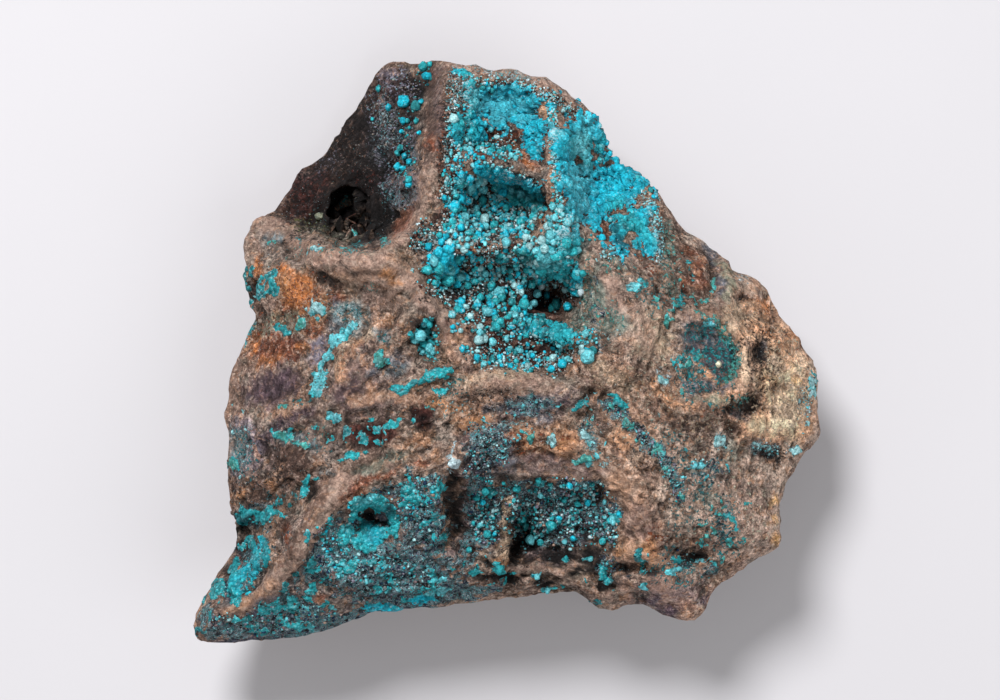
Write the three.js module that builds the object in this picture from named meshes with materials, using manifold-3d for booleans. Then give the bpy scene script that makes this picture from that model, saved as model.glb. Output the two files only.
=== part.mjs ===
// A hand-sized piece of aurichalcite on limonite: a broken slab of brown iron ore that lies on its back,
// with sky-blue aurichalcite crusts grown in the hollows of its upper face.
// Millimetres, +Z up. The origin is on the surface that the stone lies on, under the middle of its outline.
import * as THREE from "three";
import { ImprovedNoise } from "three/addons/math/ImprovedNoise.js";
import { mergeVertices } from "three/addons/utils/BufferGeometryUtils.js";
import Module from "manifold-3d";

const wasm = await Module();
wasm.setup();

// ---- driving dimensions ----
const CREST_HEIGHT = 36; // of the plain dome of the upper face, before ridges and hollows
const EDGE_HEIGHT = 19; // where the upper face turns over into the sides
const DOME_POWER = 3.4; // how flat the dome stays before it falls to the edge
const BASE_SHARE = 0.74; // reach of the flat underside, as a share of the outline's reach
const TOP_AREA = 0.74; // share of the stone's facets that lie on the upper face
const SIDE_AREA = 0.17; // share on the sides; the rest is the flat underside
const STONE_DETAIL = 14; // each of an icosahedron's 20 faces is cut in (detail + 1) squared
const CLEARANCE = 0.3; // between a crust and the stone under it
const RIM_SWING = 5; // how far the rim rises and falls on its way round
const RIM_BAND = 0.012; // facet corners this close to the rim, in share of the facets, are put on it
const RIM_SPACING = 0.8; // 1 spaces the rim's corners evenly by length, 0 by direction
const EVENING_ROUNDS = 12;
const STEEPEST = 0.4; // slope, as the upward part of its normal, past which a crust thins out
const ROUND_BEAD = 1.9; // radius past which a bead gets finer facets
const DULL_LIMONITE = { color: 0x8f7466, roughness: 0.92 };
const VELVET_AURICHALCITE = { color: 0x2ba9bf, roughness: 0.75 };

// The widest outline of the stone, seen from above, anticlockwise from its right-hand corner.
const OUTLINE = [
  [52.8, -14], [52, -10], [51.9, -2.5], [49.8, 0], [48.8, 2.8], [45, 7], [43, 10.8], [41.7, 12.3],
  [37.8, 13.2], [36.7, 15], [32.7, 18.3], [29.5, 20], [27, 23.5], [24.8, 26.9], [21, 29.2], [17.8, 31.5],
  [16.3, 35.5], [15.4, 38.2], [12.5, 41.5], [7.2, 45.2], [0.5, 46.5], [-4.7, 47.4], [-11.5, 48.4],
  [-18.5, 48.7], [-21, 47.5], [-24.2, 41.5], [-27.2, 37.8], [-31, 32], [-34.8, 29.9], [-36, 26.5],
  [-39.4, 22.4], [-41.2, 22.1], [-43, 19], [-43.4, 12], [-41.8, 6], [-43.7, 0], [-45.8, -4], [-45.7, -8],
  [-46.8, -11], [-45.8, -14], [-46.3, -22], [-45.1, -30], [-48.2, -37.5], [-51.4, -42], [-53.8, -46],
  [-52, -48.8], [-45, -48.9], [-34, -48.2], [-22, -43.8], [-11, -42.8], [0, -41.2], [11.5, -40.1],
  [16, -43.6], [20.2, -42.2], [23.8, -42.4], [28, -45.1], [32.3, -44.2], [33.6, -40.3], [40, -36],
  [44.4, -33.7], [46.1, -31.5], [45.3, -26], [46.6, -22], [49.5, -17.5],
];

// Dished hollows in the upper face: middle, half length, half width, turn of the long way from +X in degrees,
// depth, and wall, the share of the half size over which the side slopes. Where they overlap, the deeper one
// counts.
const HOLLOWS = [
  { name: "dark hollow", x: -26, y: 34, long: 24, wide: 12.5, turn: 54, depth: 12, wall: 0.38 },
  { name: "dark hollow foot", x: -24, y: 23, long: 11, wide: 7, turn: 8, depth: 13, wall: 0.4 },
  { name: "upper chamber", x: -1, y: 37.5, long: 9.5, wide: 7.5, turn: 0, depth: 7, wall: 0.6 },
  { name: "lower chamber", x: -0.5, y: 24, long: 9.5, wide: 7, turn: 0, depth: 10, wall: 0.5 },
  { name: "right chamber", x: 15, y: 28.5, long: 14.5, wide: 7.5, turn: -57, depth: 6.5, wall: 0.7 },
  { name: "lower cavity", x: -3, y: 11.5, long: 14, wide: 6.5, turn: 0, depth: 7.5, wall: 0.6 },
  { name: "lower cavity end", x: 7, y: 8, long: 6.5, wide: 7, turn: 0, depth: 10, wall: 0.5 },
  { name: "lower terrace", x: 3, y: 0, long: 10.5, wide: 5, turn: -6, depth: 4, wall: 0.7 },
  { name: "small pit", x: -13, y: 1.5, long: 5, wide: 3.2, turn: 95, depth: 3.5, wall: 0.8 },
  { name: "lower vug", x: 6, y: -28, long: 15, wide: 8.5, turn: -3, depth: 6.5, wall: 0.5 },
  { name: "lower vug channel", x: -7, y: -27.5, long: 8.5, wide: 3, turn: 84, depth: 5, wall: 0.6 },
  { name: "blue hole rim", x: -22, y: -29.5, long: 9, wide: 6, turn: 25, depth: 3, wall: 0.9 },
  { name: "foot groove", x: -43, y: -33, long: 10, wide: 4.5, turn: 68, depth: 4, wall: 0.8 },
  { name: "edge crevice", x: -41.5, y: 8, long: 8, wide: 2.2, turn: 97, depth: 3, wall: 0.9 },
  { name: "eye", x: 34, y: -2.5, long: 6.5, wide: 5.5, turn: 30, depth: 2, wall: 0.6 },
  { name: "right pit", x: 42, y: -0.5, long: 3.5, wide: 2, turn: 80, depth: 2, wall: 0.9 },
  { name: "far right pit", x: 41, y: -8.5, long: 4, wide: 2.4, turn: 20, depth: 2, wall: 0.9 },
  { name: "corner pit", x: 42, y: -17, long: 5, wide: 2.4, turn: -12, depth: 2.2, wall: 0.9 },
  { name: "low right pit", x: 31, y: -34, long: 4.5, wide: 2.4, turn: 12, depth: 3, wall: 0.8 },
  { name: "lip pit", x: 17, y: -37.5, long: 3.6, wide: 2.4, turn: -50, depth: 3.5, wall: 0.8 },
];

// Narrow holes that go deeper than the hollow around them.
const HOLES = [
  { x: -26.4, y: 23, long: 4.6, wide: 2.8, turn: 86, depth: 6, wall: 0.6 },
  { x: 7, y: 8.6, long: 2.6, wide: 2, turn: 60, depth: 5, wall: 0.7 },
  { x: 2.6, y: -30, long: 4.2, wide: 2.4, turn: 82, depth: 5.5, wall: 0.6 },
  { x: -21.8, y: -28.2, long: 2.8, wide: 1.9, turn: 0, depth: 5, wall: 0.8 },
  { x: 13.5, y: -23, long: 3, wide: 2, turn: -40, depth: 2.5, wall: 0.8 },
];

// Ridges, ribs and ledges that stand up from what they cross; a negative height is a groove.
const RIDGES = [
  {
    name: "pocket wall", height: 3.4, width: 2,
    path: [
      [-12, 49], [-11, 42], [-11.5, 33], [-12.5, 27], [-14.5, 21.5], [-18.5, 16.5], [-23, 14.5],
    ],
  },
  {
    name: "shoulder", height: 3.2, width: 2.4,
    path: [[-42, 20.5], [-36, 19.5], [-31, 16], [-25, 14.2], [-20, 13]],
  },
  {
    name: "crest", height: 2.6, width: 3.6,
    path: [
      [-20, 13], [-13, 7.8], [-8, 2.5], [-5, -4], [3, -7], [12, -6], [19, -1], [22.5, 6], [22, 11],
      [17, 14],
    ],
  },
  {
    name: "chamber rib", height: 5, width: 2,
    path: [[6, 43.5], [7.5, 38], [7.6, 32], [8, 27], [9, 22], [9.5, 17]],
  },
  {
    name: "cross rib", height: 4.6, width: 1.8,
    path: [[-5, 30.8], [0, 30.2], [4, 28.6], [7.5, 26.5]],
  },
  {
    name: "upper rim", height: 1.8, width: 2,
    path: [[-10, 46.5], [-2, 45.5], [5, 44.4], [11, 41.6], [15, 37.5]],
  },
  { name: "cavity ledge", height: 3.2, width: 1.8, path: [[-8, 14.6], [-2, 16.2], [4, 15.6]] },
  { name: "blue ledge", height: 3.2, width: 1.8, path: [[2.5, 4.2], [7, 2], [12.5, 1.6]] },
  {
    name: "arch", height: 2.4, width: 3,
    path: [
      [-12, -28], [-11, -21], [-4, -15], [6, -13.5], [14, -16], [20.5, -22], [24, -30], [23, -36],
    ],
  },
  { name: "septum", height: 4, width: 1.7, path: [[0, -24.5], [-0.2, -30], [-1.4, -35]] },
  {
    name: "left fold", height: 2, width: 2.4,
    path: [[-45, -27], [-36, -21], [-28, -17], [-18, -14.5], [-11, -10.5]],
  },
  {
    name: "low fold", height: 2, width: 2,
    path: [[-50, -44], [-40, -40.3], [-36, -34], [-31, -27], [-26, -23], [-18, -19.5], [-9, -18]],
  },
  {
    name: "upper fold", height: 1.4, width: 2,
    path: [[-40, -12.5], [-32, -9], [-26, -4.5], [-20, 1.5], [-14, 7]],
  },
  {
    name: "lip", height: 2.2, width: 1.8,
    path: [[-10.5, -30], [-8.5, -35.5], [-3, -38.2], [4, -38], [10, -37.6], [16, -40.5], [21, -38]],
  },
  {
    name: "pale groove", height: -2, width: 1.3,
    path: [[-23.5, 5.5], [-28, 1.6], [-30, -3], [-31.3, -8]],
  },
  {
    name: "eye ring", height: 1.6, width: 1.6,
    path: [[29, 5], [35, 6], [39.5, 1], [39.5, -5], [35, -9], [28, -8.5]],
  },
];

// The aurichalcite crusts, one to a hollow: outline, least thickness of the lumpy film, and its beads: how many
// are strewn, their radii, the least distance between two, and those with a place of their own as [x, y, radius].
const CRUSTS = [
  {
    name: "main_pocket_crust", film: 0.8, beads: 24, radii: [1.5, 2.2], apart: 4.4,
    outline: [
      [-9.2, 44.8], [-3, 43.6], [4, 42.8], [9, 40.8], [13, 38.4], [14.2, 34.6], [15.8, 30.6],
      [18.6, 27.8], [22, 25], [25, 21], [24.8, 16.5], [22.4, 14], [19.4, 16], [15.5, 17], [13, 13],
      [13.2, 3.2], [12.4, -1.4], [9, -4.8], [3, -3.4], [-2, -2.8], [-5.2, -0.6], [-8.4, 5.4],
      [-13, 9.4], [-15.6, 12.6], [-11.8, 17], [-11, 22], [-9.4, 28], [-9.4, 36],
    ],
    placed: [[-10.5, 12.6, 2.2], [-8.2, 13.6, 1.9], [-12.4, 14.8, 1.7], [13.6, -0.8, 1.5]],
  },
  {
    name: "dark_hollow_crust", film: 0.5, beads: 0, radii: [0.6, 0.9], apart: 2,
    outline: [
      [-21, 44.6], [-14.4, 47.6], [-12.6, 46.8], [-13.4, 40], [-14.4, 34], [-15, 27.2],
      [-18.6, 26.4], [-19, 35], [-20.2, 39.4],
    ],
    placed: [
      [-16.6, 40.8, 1.25], [-14.5, 40.2, 1], [-16.7, 38.2, 0.8], [-13.9, 46.2, 1.1],
      [-17.2, 33.4, 1], [-17.3, 30.4, 1],
      [-15.9, 30.8, 0.8], [-16, 28.2, 0.9], [-19.8, 43.6, 0.8], [-15.2, 37.6, 0.7],
    ],
  },
  {
    name: "small_pit_crust", film: 0.5, beads: 2, radii: [1, 1.4], apart: 2.4,
    outline: [
      [-14.6, 4.4], [-12.4, 5.2], [-11, 2], [-10.4, -1], [-12, -2.6], [-15.2, -1.4], [-15.8, 1.8],
    ],
    placed: [],
  },
  {
    name: "blue_hole_crust", film: 0.5, beads: 6, radii: [1.1, 1.6], apart: 3.8,
    outline: [
      [-30.6, -31.6], [-26.4, -26.6], [-20.6, -23.6], [-14, -21.4], [-10.6, -21.6], [-11.2, -26],
      [-14, -31], [-18, -33.6], [-22, -35.4], [-28, -37.2], [-32, -35.6],
    ],
    placed: [],
  },
  {
    name: "foot_crust", film: 0.5, beads: 3, radii: [1, 1.5], apart: 3.4,
    outline: [
      [-43.6, -26.6], [-37.6, -26.8], [-38.6, -32.6], [-40, -38.6], [-45.4, -41.2], [-47.8, -40.6],
      [-45.2, -35.4], [-43.4, -31.4],
    ],
    placed: [],
  },
  {
    name: "lower_vug_crust", film: 0.5, beads: 5, radii: [1, 1.5], apart: 3.8,
    outline: [
      [-5, -21.6], [1, -21.4], [6, -21], [14.6, -21.6], [16, -25], [19.6, -27.4], [18, -31.6],
      [12, -34.6], [4, -34.8], [1.2, -33], [-3, -33.6], [-5.8, -29], [-6, -25],
    ],
    placed: [[-3.2, -22.8, 1.2], [4.6, -32, 1.2], [3.4, -28.6, 1.1]],
  },
];

// ---- helpers ----
const perlin = new ImprovedNoise();
const radians = THREE.MathUtils.degToRad;
const smoothstep = THREE.MathUtils.smoothstep;

// Fractal noise from about -1 to 1, with features of the given size in millimetres.
function roughness(x, y, z, size, octaves = 3) {
  let sum = 0;
  for (let i = 0; i < octaves; i++) {
    const k = 2 ** i / size;
    sum += perlin.noise(x * k, y * k, z * k + 7 * i) / 2 ** i;
  }
  return sum;
}

// A repeatable random number from 0 to 1, so that every build gives the same beads.
function makeRandom(seed) {
  let state = seed;
  return () => {
    state = (state * 1664525 + 1013904223) % 4294967296;
    return state / 4294967296;
  };
}

function distanceToPath(x, y, path) {
  let best = Infinity;
  for (let i = 0; i + 1 < path.length; i++) {
    const [ax, ay] = path[i];
    const [dx, dy] = [path[i + 1][0] - ax, path[i + 1][1] - ay];
    const t = THREE.MathUtils.clamp(((x - ax) * dx + (y - ay) * dy) / (dx * dx + dy * dy), 0, 1);
    best = Math.min(best, Math.hypot(x - ax - t * dx, y - ay - t * dy));
  }
  return best;
}

function isInside(x, y, polygon) {
  let inside = false;
  polygon.forEach(([ax, ay], i) => {
    const [bx, by] = polygon[(i + 1) % polygon.length];
    if (ay > y !== by > y && x < ax + ((y - ay) / (by - ay)) * (bx - ax)) inside = !inside;
  });
  return inside;
}

const rimPoints = OUTLINE.map(([x, y]) => new THREE.Vector3(x, y, 0));
const rimCurve = new THREE.CatmullRomCurve3(rimPoints, true, "centripetal");

// How far the outline reaches from the middle in each direction.
const REACH_STEPS = 720;
const reachTable = (() => {
  const points = rimCurve.getPoints(OUTLINE.length * 12);
  return Array.from({ length: REACH_STEPS }, (_, step) => {
    const angle = (step / REACH_STEPS) * 2 * Math.PI;
    const ray = new THREE.Vector2(Math.cos(angle), Math.sin(angle));
    let reach = 0;
    for (let i = 0; i + 1 < points.length; i++) {
      const [from, to] = [points[i], points[i + 1]];
      const sideFrom = ray.x * from.y - ray.y * from.x;
      const sideTo = ray.x * to.y - ray.y * to.x;
      if (sideFrom > 0 === sideTo > 0) continue;
      reach = Math.max(reach, ray.dot(from.clone().lerp(to, sideFrom / (sideFrom - sideTo))));
    }
    return reach;
  });
})();

function reachAt(angle) {
  const step = THREE.MathUtils.euclideanModulo(angle / (2 * Math.PI), 1) * REACH_STEPS;
  const low = Math.floor(step) % REACH_STEPS;
  return THREE.MathUtils.lerp(reachTable[low], reachTable[(low + 1) % REACH_STEPS], step - Math.floor(step));
}

// Turns a direction on the even ball towards one that spaces the rim's corners evenly along the outline.
function spacedAngle(angle) {
  const start = Math.atan2(OUTLINE[0][1], OUTLINE[0][0]);
  const along = rimCurve.getPointAt(THREE.MathUtils.euclideanModulo((angle - start) / (2 * Math.PI), 1));
  const turn = Math.atan2(along.y, along.x) - angle;
  return angle + RIM_SPACING * (THREE.MathUtils.euclideanModulo(turn + Math.PI, 2 * Math.PI) - Math.PI);
}

// ---- the stone's upper face ----
// 1 on the floor of a hollow, 0 outside it.
function dish(x, y, hollow) {
  const turn = radians(hollow.turn);
  const [dx, dy] = [x - hollow.x, y - hollow.y];
  const along = (dx * Math.cos(turn) + dy * Math.sin(turn)) / hollow.long;
  const across = (dy * Math.cos(turn) - dx * Math.sin(turn)) / hollow.wide;
  const wobble = 0.16 * roughness(x, y, hollow.depth, 9, 2);
  return 1 - smoothstep(Math.hypot(along, across) + wobble, 1 - hollow.wall, 1);
}

function faceHeight(x, y) {
  const angle = Math.atan2(y, x);
  const rim = Math.min(1, Math.hypot(x, y) / reachAt(angle));
  let height = THREE.MathUtils.lerp(CREST_HEIGHT, rimHeight(angle), rim ** DOME_POWER);
  height -= Math.max(...HOLLOWS.map((hollow) => hollow.depth * dish(x, y, hollow)));
  for (const hole of HOLES) height -= hole.depth * dish(x, y, hole);
  for (const { path, width, height: rise } of RIDGES) {
    height += rise * Math.exp(-((distanceToPath(x, y, path) / width) ** 2));
  }
  return height + 1.3 * roughness(x, y, 3, 13) + 0.8 * roughness(x, y, 40, 5, 2);
}

// ---- the stone ----
// The rim isn't level: it stands higher or lower round the stone.
function rimHeight(angle) {
  return EDGE_HEIGHT + RIM_SWING * roughness(2 * Math.cos(angle), 2 * Math.sin(angle), 0.7, 1.6, 2);
}

function bareGeometry(source) {
  const geometry = new THREE.BufferGeometry().setAttribute("position", source.getAttribute("position"));
  if (source.index) geometry.setIndex(source.index);
  return mergeVertices(geometry, 1e-4);
}

// A ball of even facets, and where each of its points lies in plan: the upper ones are spread over the outline
// and evened out until each lies amid its neighbours, the next ones go down the sides, and the last go under.
const ball = bareGeometry(new THREE.IcosahedronGeometry(1, STONE_DETAIL));
const stonePlan = (() => {
  const position = ball.getAttribute("position");
  const plan = Array.from({ length: position.count }, (_, i) => {
    const share = (1 - position.getZ(i)) / 2;
    const angle = spacedAngle(Math.atan2(position.getY(i), position.getX(i)));
    const onRim = Math.abs(share - TOP_AREA) < RIM_BAND;
    const part = onRim ? 1 : Math.sqrt(Math.min(1, share / TOP_AREA));
    const reach = reachAt(angle) * part;
    return { share: onRim ? TOP_AREA : share, angle, x: Math.cos(angle) * reach, y: Math.sin(angle) * reach };
  });
  const neighbours = plan.map(() => new Set());
  for (let i = 0; i < ball.index.count; i += 3) {
    const corners = [0, 1, 2].map((k) => ball.index.getX(i + k));
    corners.forEach((corner, k) => neighbours[corner].add(corners[(k + 1) % 3]).add(corners[(k + 2) % 3]));
  }
  const free = plan.map((point, i) => i).filter((i) => plan[i].share < TOP_AREA);
  for (let round = 0; round < EVENING_ROUNDS; round++) {
    for (const i of free) {
      const around = [...neighbours[i]].map((j) => plan[j]);
      plan[i].x = around.reduce((sum, point) => sum + point.x, 0) / around.length;
      plan[i].y = around.reduce((sum, point) => sum + point.y, 0) / around.length;
    }
  }
  return plan;
})();

function stonePoint({ share, angle, x, y }) {
  if (share <= TOP_AREA) return new THREE.Vector3(x, y, faceHeight(x, y));
  const reach = reachAt(angle);
  const toRim = new THREE.Vector3(Math.cos(angle), Math.sin(angle), 0).multiplyScalar(reach);
  const at = (part, z) => toRim.clone().multiplyScalar(part).setZ(z);
  const rim = at(1, 0);
  const base = BASE_SHARE + 0.08 * roughness(rim.x, rim.y, 60, 30, 2);
  const under = TOP_AREA + SIDE_AREA;
  if (share >= under) return at(base * Math.sqrt((1 - share) / (1 - under)), 0);
  const down = (share - TOP_AREA) / SIDE_AREA;
  const height = faceHeight(rim.x, rim.y) * (1 - down);
  const bulge = base + (1 - base) * (1 - down ** 2.2);
  const chipped = 0.06 * smoothstep(down, 0, 0.3) * smoothstep(1 - down, 0, 0.2);
  return at(bulge - chipped * (1 + roughness(rim.x, rim.y, height * 1.4, 16)), height);
}

// The stone's closed surface, or the same surface raised so that it clears the stone by `offset` on any
// slope, and by up to `lumps` more from point to point.
function stoneGeometry(offset = 0, lumps = 0) {
  const random = makeRandom(5);
  const geometry = ball.clone();
  const position = geometry.getAttribute("position");
  stonePlan.forEach((planned, i) => position.setXYZ(i, ...stonePoint(planned).toArray()));
  geometry.computeVertexNormals();
  const normal = geometry.getAttribute("normal");
  for (let i = 0; i < position.count && offset; i++) {
    const raised = offset + lumps * random();
    position.setZ(i, position.getZ(i) + raised / Math.max(STEEPEST, normal.getZ(i)));
  }
  return geometry;
}

// ---- solids ----
function solidFrom(geometry) {
  const bare = bareGeometry(geometry);
  const { array } = bare.getAttribute("position");
  const vertProperties = new Float32Array(array);
  const triVerts = new Uint32Array(bare.index.array);
  return new wasm.Manifold(new wasm.Mesh({ numProp: 3, vertProperties, triVerts }));
}

function geometryFrom(solid) {
  const mesh = solid.getMesh();
  const geometry = new THREE.BufferGeometry()
    .setAttribute("position", new THREE.BufferAttribute(new Float32Array(mesh.vertProperties), 3))
    .setIndex(new THREE.BufferAttribute(new Uint32Array(mesh.triVerts), 1));
  geometry.computeVertexNormals();
  return geometry;
}

// A straight-sided column over an outline, taller than the stone.
function columnOver(outline) {
  const shape = new THREE.Shape(outline.map(([x, y]) => new THREE.Vector2(x, y)));
  return solidFrom(new THREE.ExtrudeGeometry(shape, { depth: 2 * CREST_HEIGHT, bevelEnabled: false }));
}

function beadAt(x, y, radius) {
  const bead = new THREE.IcosahedronGeometry(radius, radius > ROUND_BEAD ? 1 : 0);
  return solidFrom(bead.rotateZ(x).rotateX(y).translate(x, y, faceHeight(x, y) + CLEARANCE + 0.35 * radius));
}

// Beads strewn over a crust's outline, no two closer than it says.
function strewnBeads({ outline, beads, radii, apart }, seed) {
  const random = makeRandom(seed);
  const [xs, ys] = [outline.map((p) => p[0]), outline.map((p) => p[1])];
  const found = [];
  for (let tries = 0; found.length < beads && tries < 60 * beads; tries++) {
    const x = THREE.MathUtils.lerp(Math.min(...xs), Math.max(...xs), random());
    const y = THREE.MathUtils.lerp(Math.min(...ys), Math.max(...ys), random());
    const crowded = found.some(([fx, fy]) => Math.hypot(fx - x, fy - y) < apart);
    if (isInside(x, y, outline) && !crowded) found.push([x, y, THREE.MathUtils.lerp(...radii, random())]);
  }
  return found;
}

const seatCut = solidFrom(stoneGeometry(CLEARANCE));

// A film that follows the floor of its hollow, with the beads joined to it, cut back to clear the stone.
function crustSolid(crust, seed) {
  const raised = solidFrom(stoneGeometry(CLEARANCE + crust.film, crust.film));
  let solid = raised.intersect(columnOver(crust.outline));
  for (const [x, y, radius] of [...crust.placed, ...strewnBeads(crust, seed)]) {
    solid = solid.add(beadAt(x, y, radius));
  }
  const pieces = solid.subtract(seatCut).decompose();
  return pieces.reduce((largest, piece) => (piece.volume() > largest.volume() ? piece : largest));
}

// ---- the specimen ----
function addNamed(group, name, geometry, look) {
  const mesh = new THREE.Mesh(geometry, new THREE.MeshStandardMaterial({ ...look, metalness: 0 }));
  mesh.name = name;
  group.add(mesh);
}

const specimen = new THREE.Group();
addNamed(specimen, "limonite_matrix", stoneGeometry(), DULL_LIMONITE);
CRUSTS.forEach((crust, i) => {
  addNamed(specimen, crust.name, geometryFrom(crustSolid(crust, i + 1)), VELVET_AURICHALCITE);
});

const box = new THREE.Box3().setFromObject(specimen);
const middle = box.getCenter(new THREE.Vector3());
specimen.position.set(-middle.x, -middle.y, -box.min.z);

export default specimen;
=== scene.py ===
"""An aurichalcite specimen: a flat lump of limonite lying on its back, with blue-green crusts in its hollows.

Places on the stone's face are in millimetres from the middle of the face, +X to the right and +Y away.
"""

import math
import random

import bmesh
import bpy
import numpy as np
from mathutils import Matrix, Vector
from mathutils.bvhtree import BVHTree


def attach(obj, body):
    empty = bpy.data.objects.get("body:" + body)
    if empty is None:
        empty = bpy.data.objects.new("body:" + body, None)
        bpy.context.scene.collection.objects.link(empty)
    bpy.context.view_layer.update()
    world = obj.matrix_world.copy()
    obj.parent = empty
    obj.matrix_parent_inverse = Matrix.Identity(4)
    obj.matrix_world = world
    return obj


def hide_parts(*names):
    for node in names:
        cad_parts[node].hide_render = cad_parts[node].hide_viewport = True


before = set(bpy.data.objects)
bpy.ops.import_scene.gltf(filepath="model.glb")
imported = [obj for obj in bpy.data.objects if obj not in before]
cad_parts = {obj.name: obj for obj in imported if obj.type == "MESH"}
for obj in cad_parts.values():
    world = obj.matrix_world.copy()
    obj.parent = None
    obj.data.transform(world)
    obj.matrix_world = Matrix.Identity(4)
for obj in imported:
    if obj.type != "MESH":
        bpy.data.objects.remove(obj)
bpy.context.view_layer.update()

MM = 0.001
FACE_MIDDLE = np.array([0.32, -0.165])  # the row frame's origin, as a place on the face
CREST = 36.0

# ---------------------------------------------------------------- colours
COLOURS = {
    "tan": (150, 124, 111),
    "warm_tan": (172, 134, 110),
    "orange_tan": (190, 140, 106),
    "pale_tan": (180, 160, 146),
    "peach": (238, 186, 150),
    "cream_tan": (200, 174, 148),
    "pink_tan": (164, 134, 120),
    "grey_tan": (126, 116, 109),
    "green_tan": (128, 130, 112),
    "brown": (104, 80, 69),
    "mauve": (116, 98, 100),
    "dark_brown": (60, 45, 41),
    "purple_brown": (76, 60, 62),
    "red_brown": (78, 40, 34),
    "rust": (142, 78, 52),
    "orange": (200, 122, 66),
    "ochre": (184, 126, 80),
    "yellow_ochre": (202, 152, 88),
    "plum": (92, 73, 77),
    "violet": (72, 58, 72),
    "slate": (86, 93, 104),
    "lilac_grey": (136, 130, 146),
    "ash": (108, 113, 114),
    "blue_grey": (106, 134, 144),
    "green_grey": (108, 124, 115),
    "olive": (104, 108, 62),
    "navy": (30, 50, 76),
    "black": (16, 14, 15),
    "soot": (36, 31, 31),
    "deep_teal": (12, 62, 72),
    "dark_teal": (22, 88, 98),
    "teal": (42, 132, 138),
    "green_teal": (78, 162, 154),
    "turquoise": (46, 164, 172),
    "bright_blue": (30, 180, 204),
    "light_blue": (104, 192, 202),
    "pale_blue": (158, 204, 208),
    "frost": (196, 216, 222),
    "white": (214, 212, 216),
    "cream": (224, 216, 190),
}


def linear(name):
    """A colour's linear values, from its name."""
    share = np.array(COLOURS[name]) / 255
    return np.where(share <= 0.04045, share / 12.92, ((share + 0.055) / 1.055) ** 2.4)


# ---------------------------------------------------------------- fields over the stone
HASH_AXES = np.array([374761393, 668265263, 1442695041])
HASH_SEED = 97531
HASH_ROUNDS = ((13, 1274126177), (16, 668265261))
LOW_32, LOW_24 = 0xFFFFFFFF, 0xFFFFFF
WAVE_CELLS = 1.6  # cells of random numbers to one wave
OCTAVE_SHIFT = 17.3
KNOB_FALL = 2.1


def smooth(values, low, high):
    """0 below the low level, 1 above the high one, and a soft rise between them."""
    t = np.clip((values - low) / (high - low), 0, 1)
    return t * t * (3 - 2 * t)


def hashed(cell, seed):
    """A steady random number from 0 to 1 for each whole-number place."""
    h = (cell @ HASH_AXES + seed * HASH_SEED) & LOW_32
    for shift, factor in HASH_ROUNDS:
        h = ((h ^ (h >> shift)) * factor) & LOW_32
    return ((h ^ (h >> 15)) & LOW_24) / LOW_24


def waves(points, size, seed=0, octaves=1):
    """Smooth random waves from about -1 to 1, `size` mm across; each octave is half as large and as high."""
    total = np.zeros(len(points))
    for octave in range(octaves):
        at = points * (WAVE_CELLS * 2**octave / size) + OCTAVE_SHIFT * octave
        cell = np.floor(at).astype(np.int64)
        part = at - cell
        part = part * part * part * (part * (part * 6 - 15) + 10)
        value = np.zeros(len(points))
        for corner in range(8):
            step = np.array([corner & 1, corner >> 1 & 1, corner >> 2 & 1])
            weight = np.prod(np.where(step, part, 1 - part), axis=1)
            value += weight * (2 * hashed(cell + step, seed + octave) - 1)
        total += value / 2**octave
    return total


def crags(points, size, seed=0, octaves=2):
    """Sharp crests from 0 to about 1 with rounded hollows between them."""
    total = np.zeros(len(points))
    for octave in range(octaves):
        total += (1 - 2 * np.abs(waves(points, size / 2**octave, seed + 7 * octave))) / 2**octave
    return total / 1.4


def knobs(points, size, seed=0):
    """Round knobs `size` mm across, crowded together: 1 on their tops and about 0 in the creases."""
    at = points / size
    cell = np.floor(at).astype(np.int64)
    nearest = np.full(len(points), np.inf)
    for step in np.ndindex(3, 3, 3):
        other = cell + np.array(step) - 1
        middle = other + np.stack([hashed(other, seed + axis) for axis in range(3)], axis=1)
        nearest = np.minimum(nearest, ((at - middle) ** 2).sum(1))
    return np.sqrt(np.clip(1 - nearest * KNOB_FALL, 0, 1))


def sway(points, size, seeds, octaves=2):
    """How far waves move each point along x and y."""
    return np.stack([waves(points, size, seed, octaves) for seed in seeds], axis=1)


def from_path(places, path):
    """How far each place on the face is from a bent line."""
    best = np.full(len(places), np.inf)
    for start, end in zip(path, path[1:]):
        start, run = np.array(start, float), np.array(end, float) - np.array(start, float)
        t = np.clip(((places - start) @ run) / (run @ run), 0, 1)
        best = np.minimum(best, np.hypot(*(places - start - t[:, None] * run).T))
    return best


def in_oval(places, x, y, long, wide=None, turn=0.0):
    """0 in an oval's middle, 1 on its edge, and more outside. Without a width it's round."""
    a = math.radians(turn)
    dx, dy = (places - (x, y)).T
    along = (dx * math.cos(a) + dy * math.sin(a)) / long
    across = (dy * math.cos(a) - dx * math.sin(a)) / (wide or long)
    return np.hypot(along, across)


def is_stroke(mark):
    """A mark is an oval, (x, y, long, wide, turn), or a stroke, (width, [(x, y), ...])."""
    return isinstance(mark[1], (list, tuple))


ROUGHS = 6  # kinds of ragged edge, taken in turn


class Face:
    """A mesh's points as places on the stone's face, with the waves that bend and roughen every mark."""

    def __init__(self, points):
        self.points = points
        self.places = points[:, :2] + FACE_MIDDLE
        self.bent = self.places + 0.6 * sway(points, 3.4, (61, 67)) + 0.32 * sway(points, 1.2, (71, 73))
        self.rough = [waves(points, 1.9, 50 + kind, 3) for kind in range(ROUGHS)]

    def cover(self, marks, ragged=0.3, soft=0.35, seed=0):
        """How far a set of marks covers each point, from 0 to 1, with ragged edges."""
        rough = ragged * self.rough[seed % ROUGHS]
        best = np.zeros(len(self.places))
        for mark in marks:
            if is_stroke(mark):
                reach = from_path(self.bent, mark[1]) / mark[0]
            else:
                reach = in_oval(self.bent, *mark)
            best = np.maximum(best, 1 - smooth(reach + rough, 1 - soft, 1 + soft))
        return best


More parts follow.
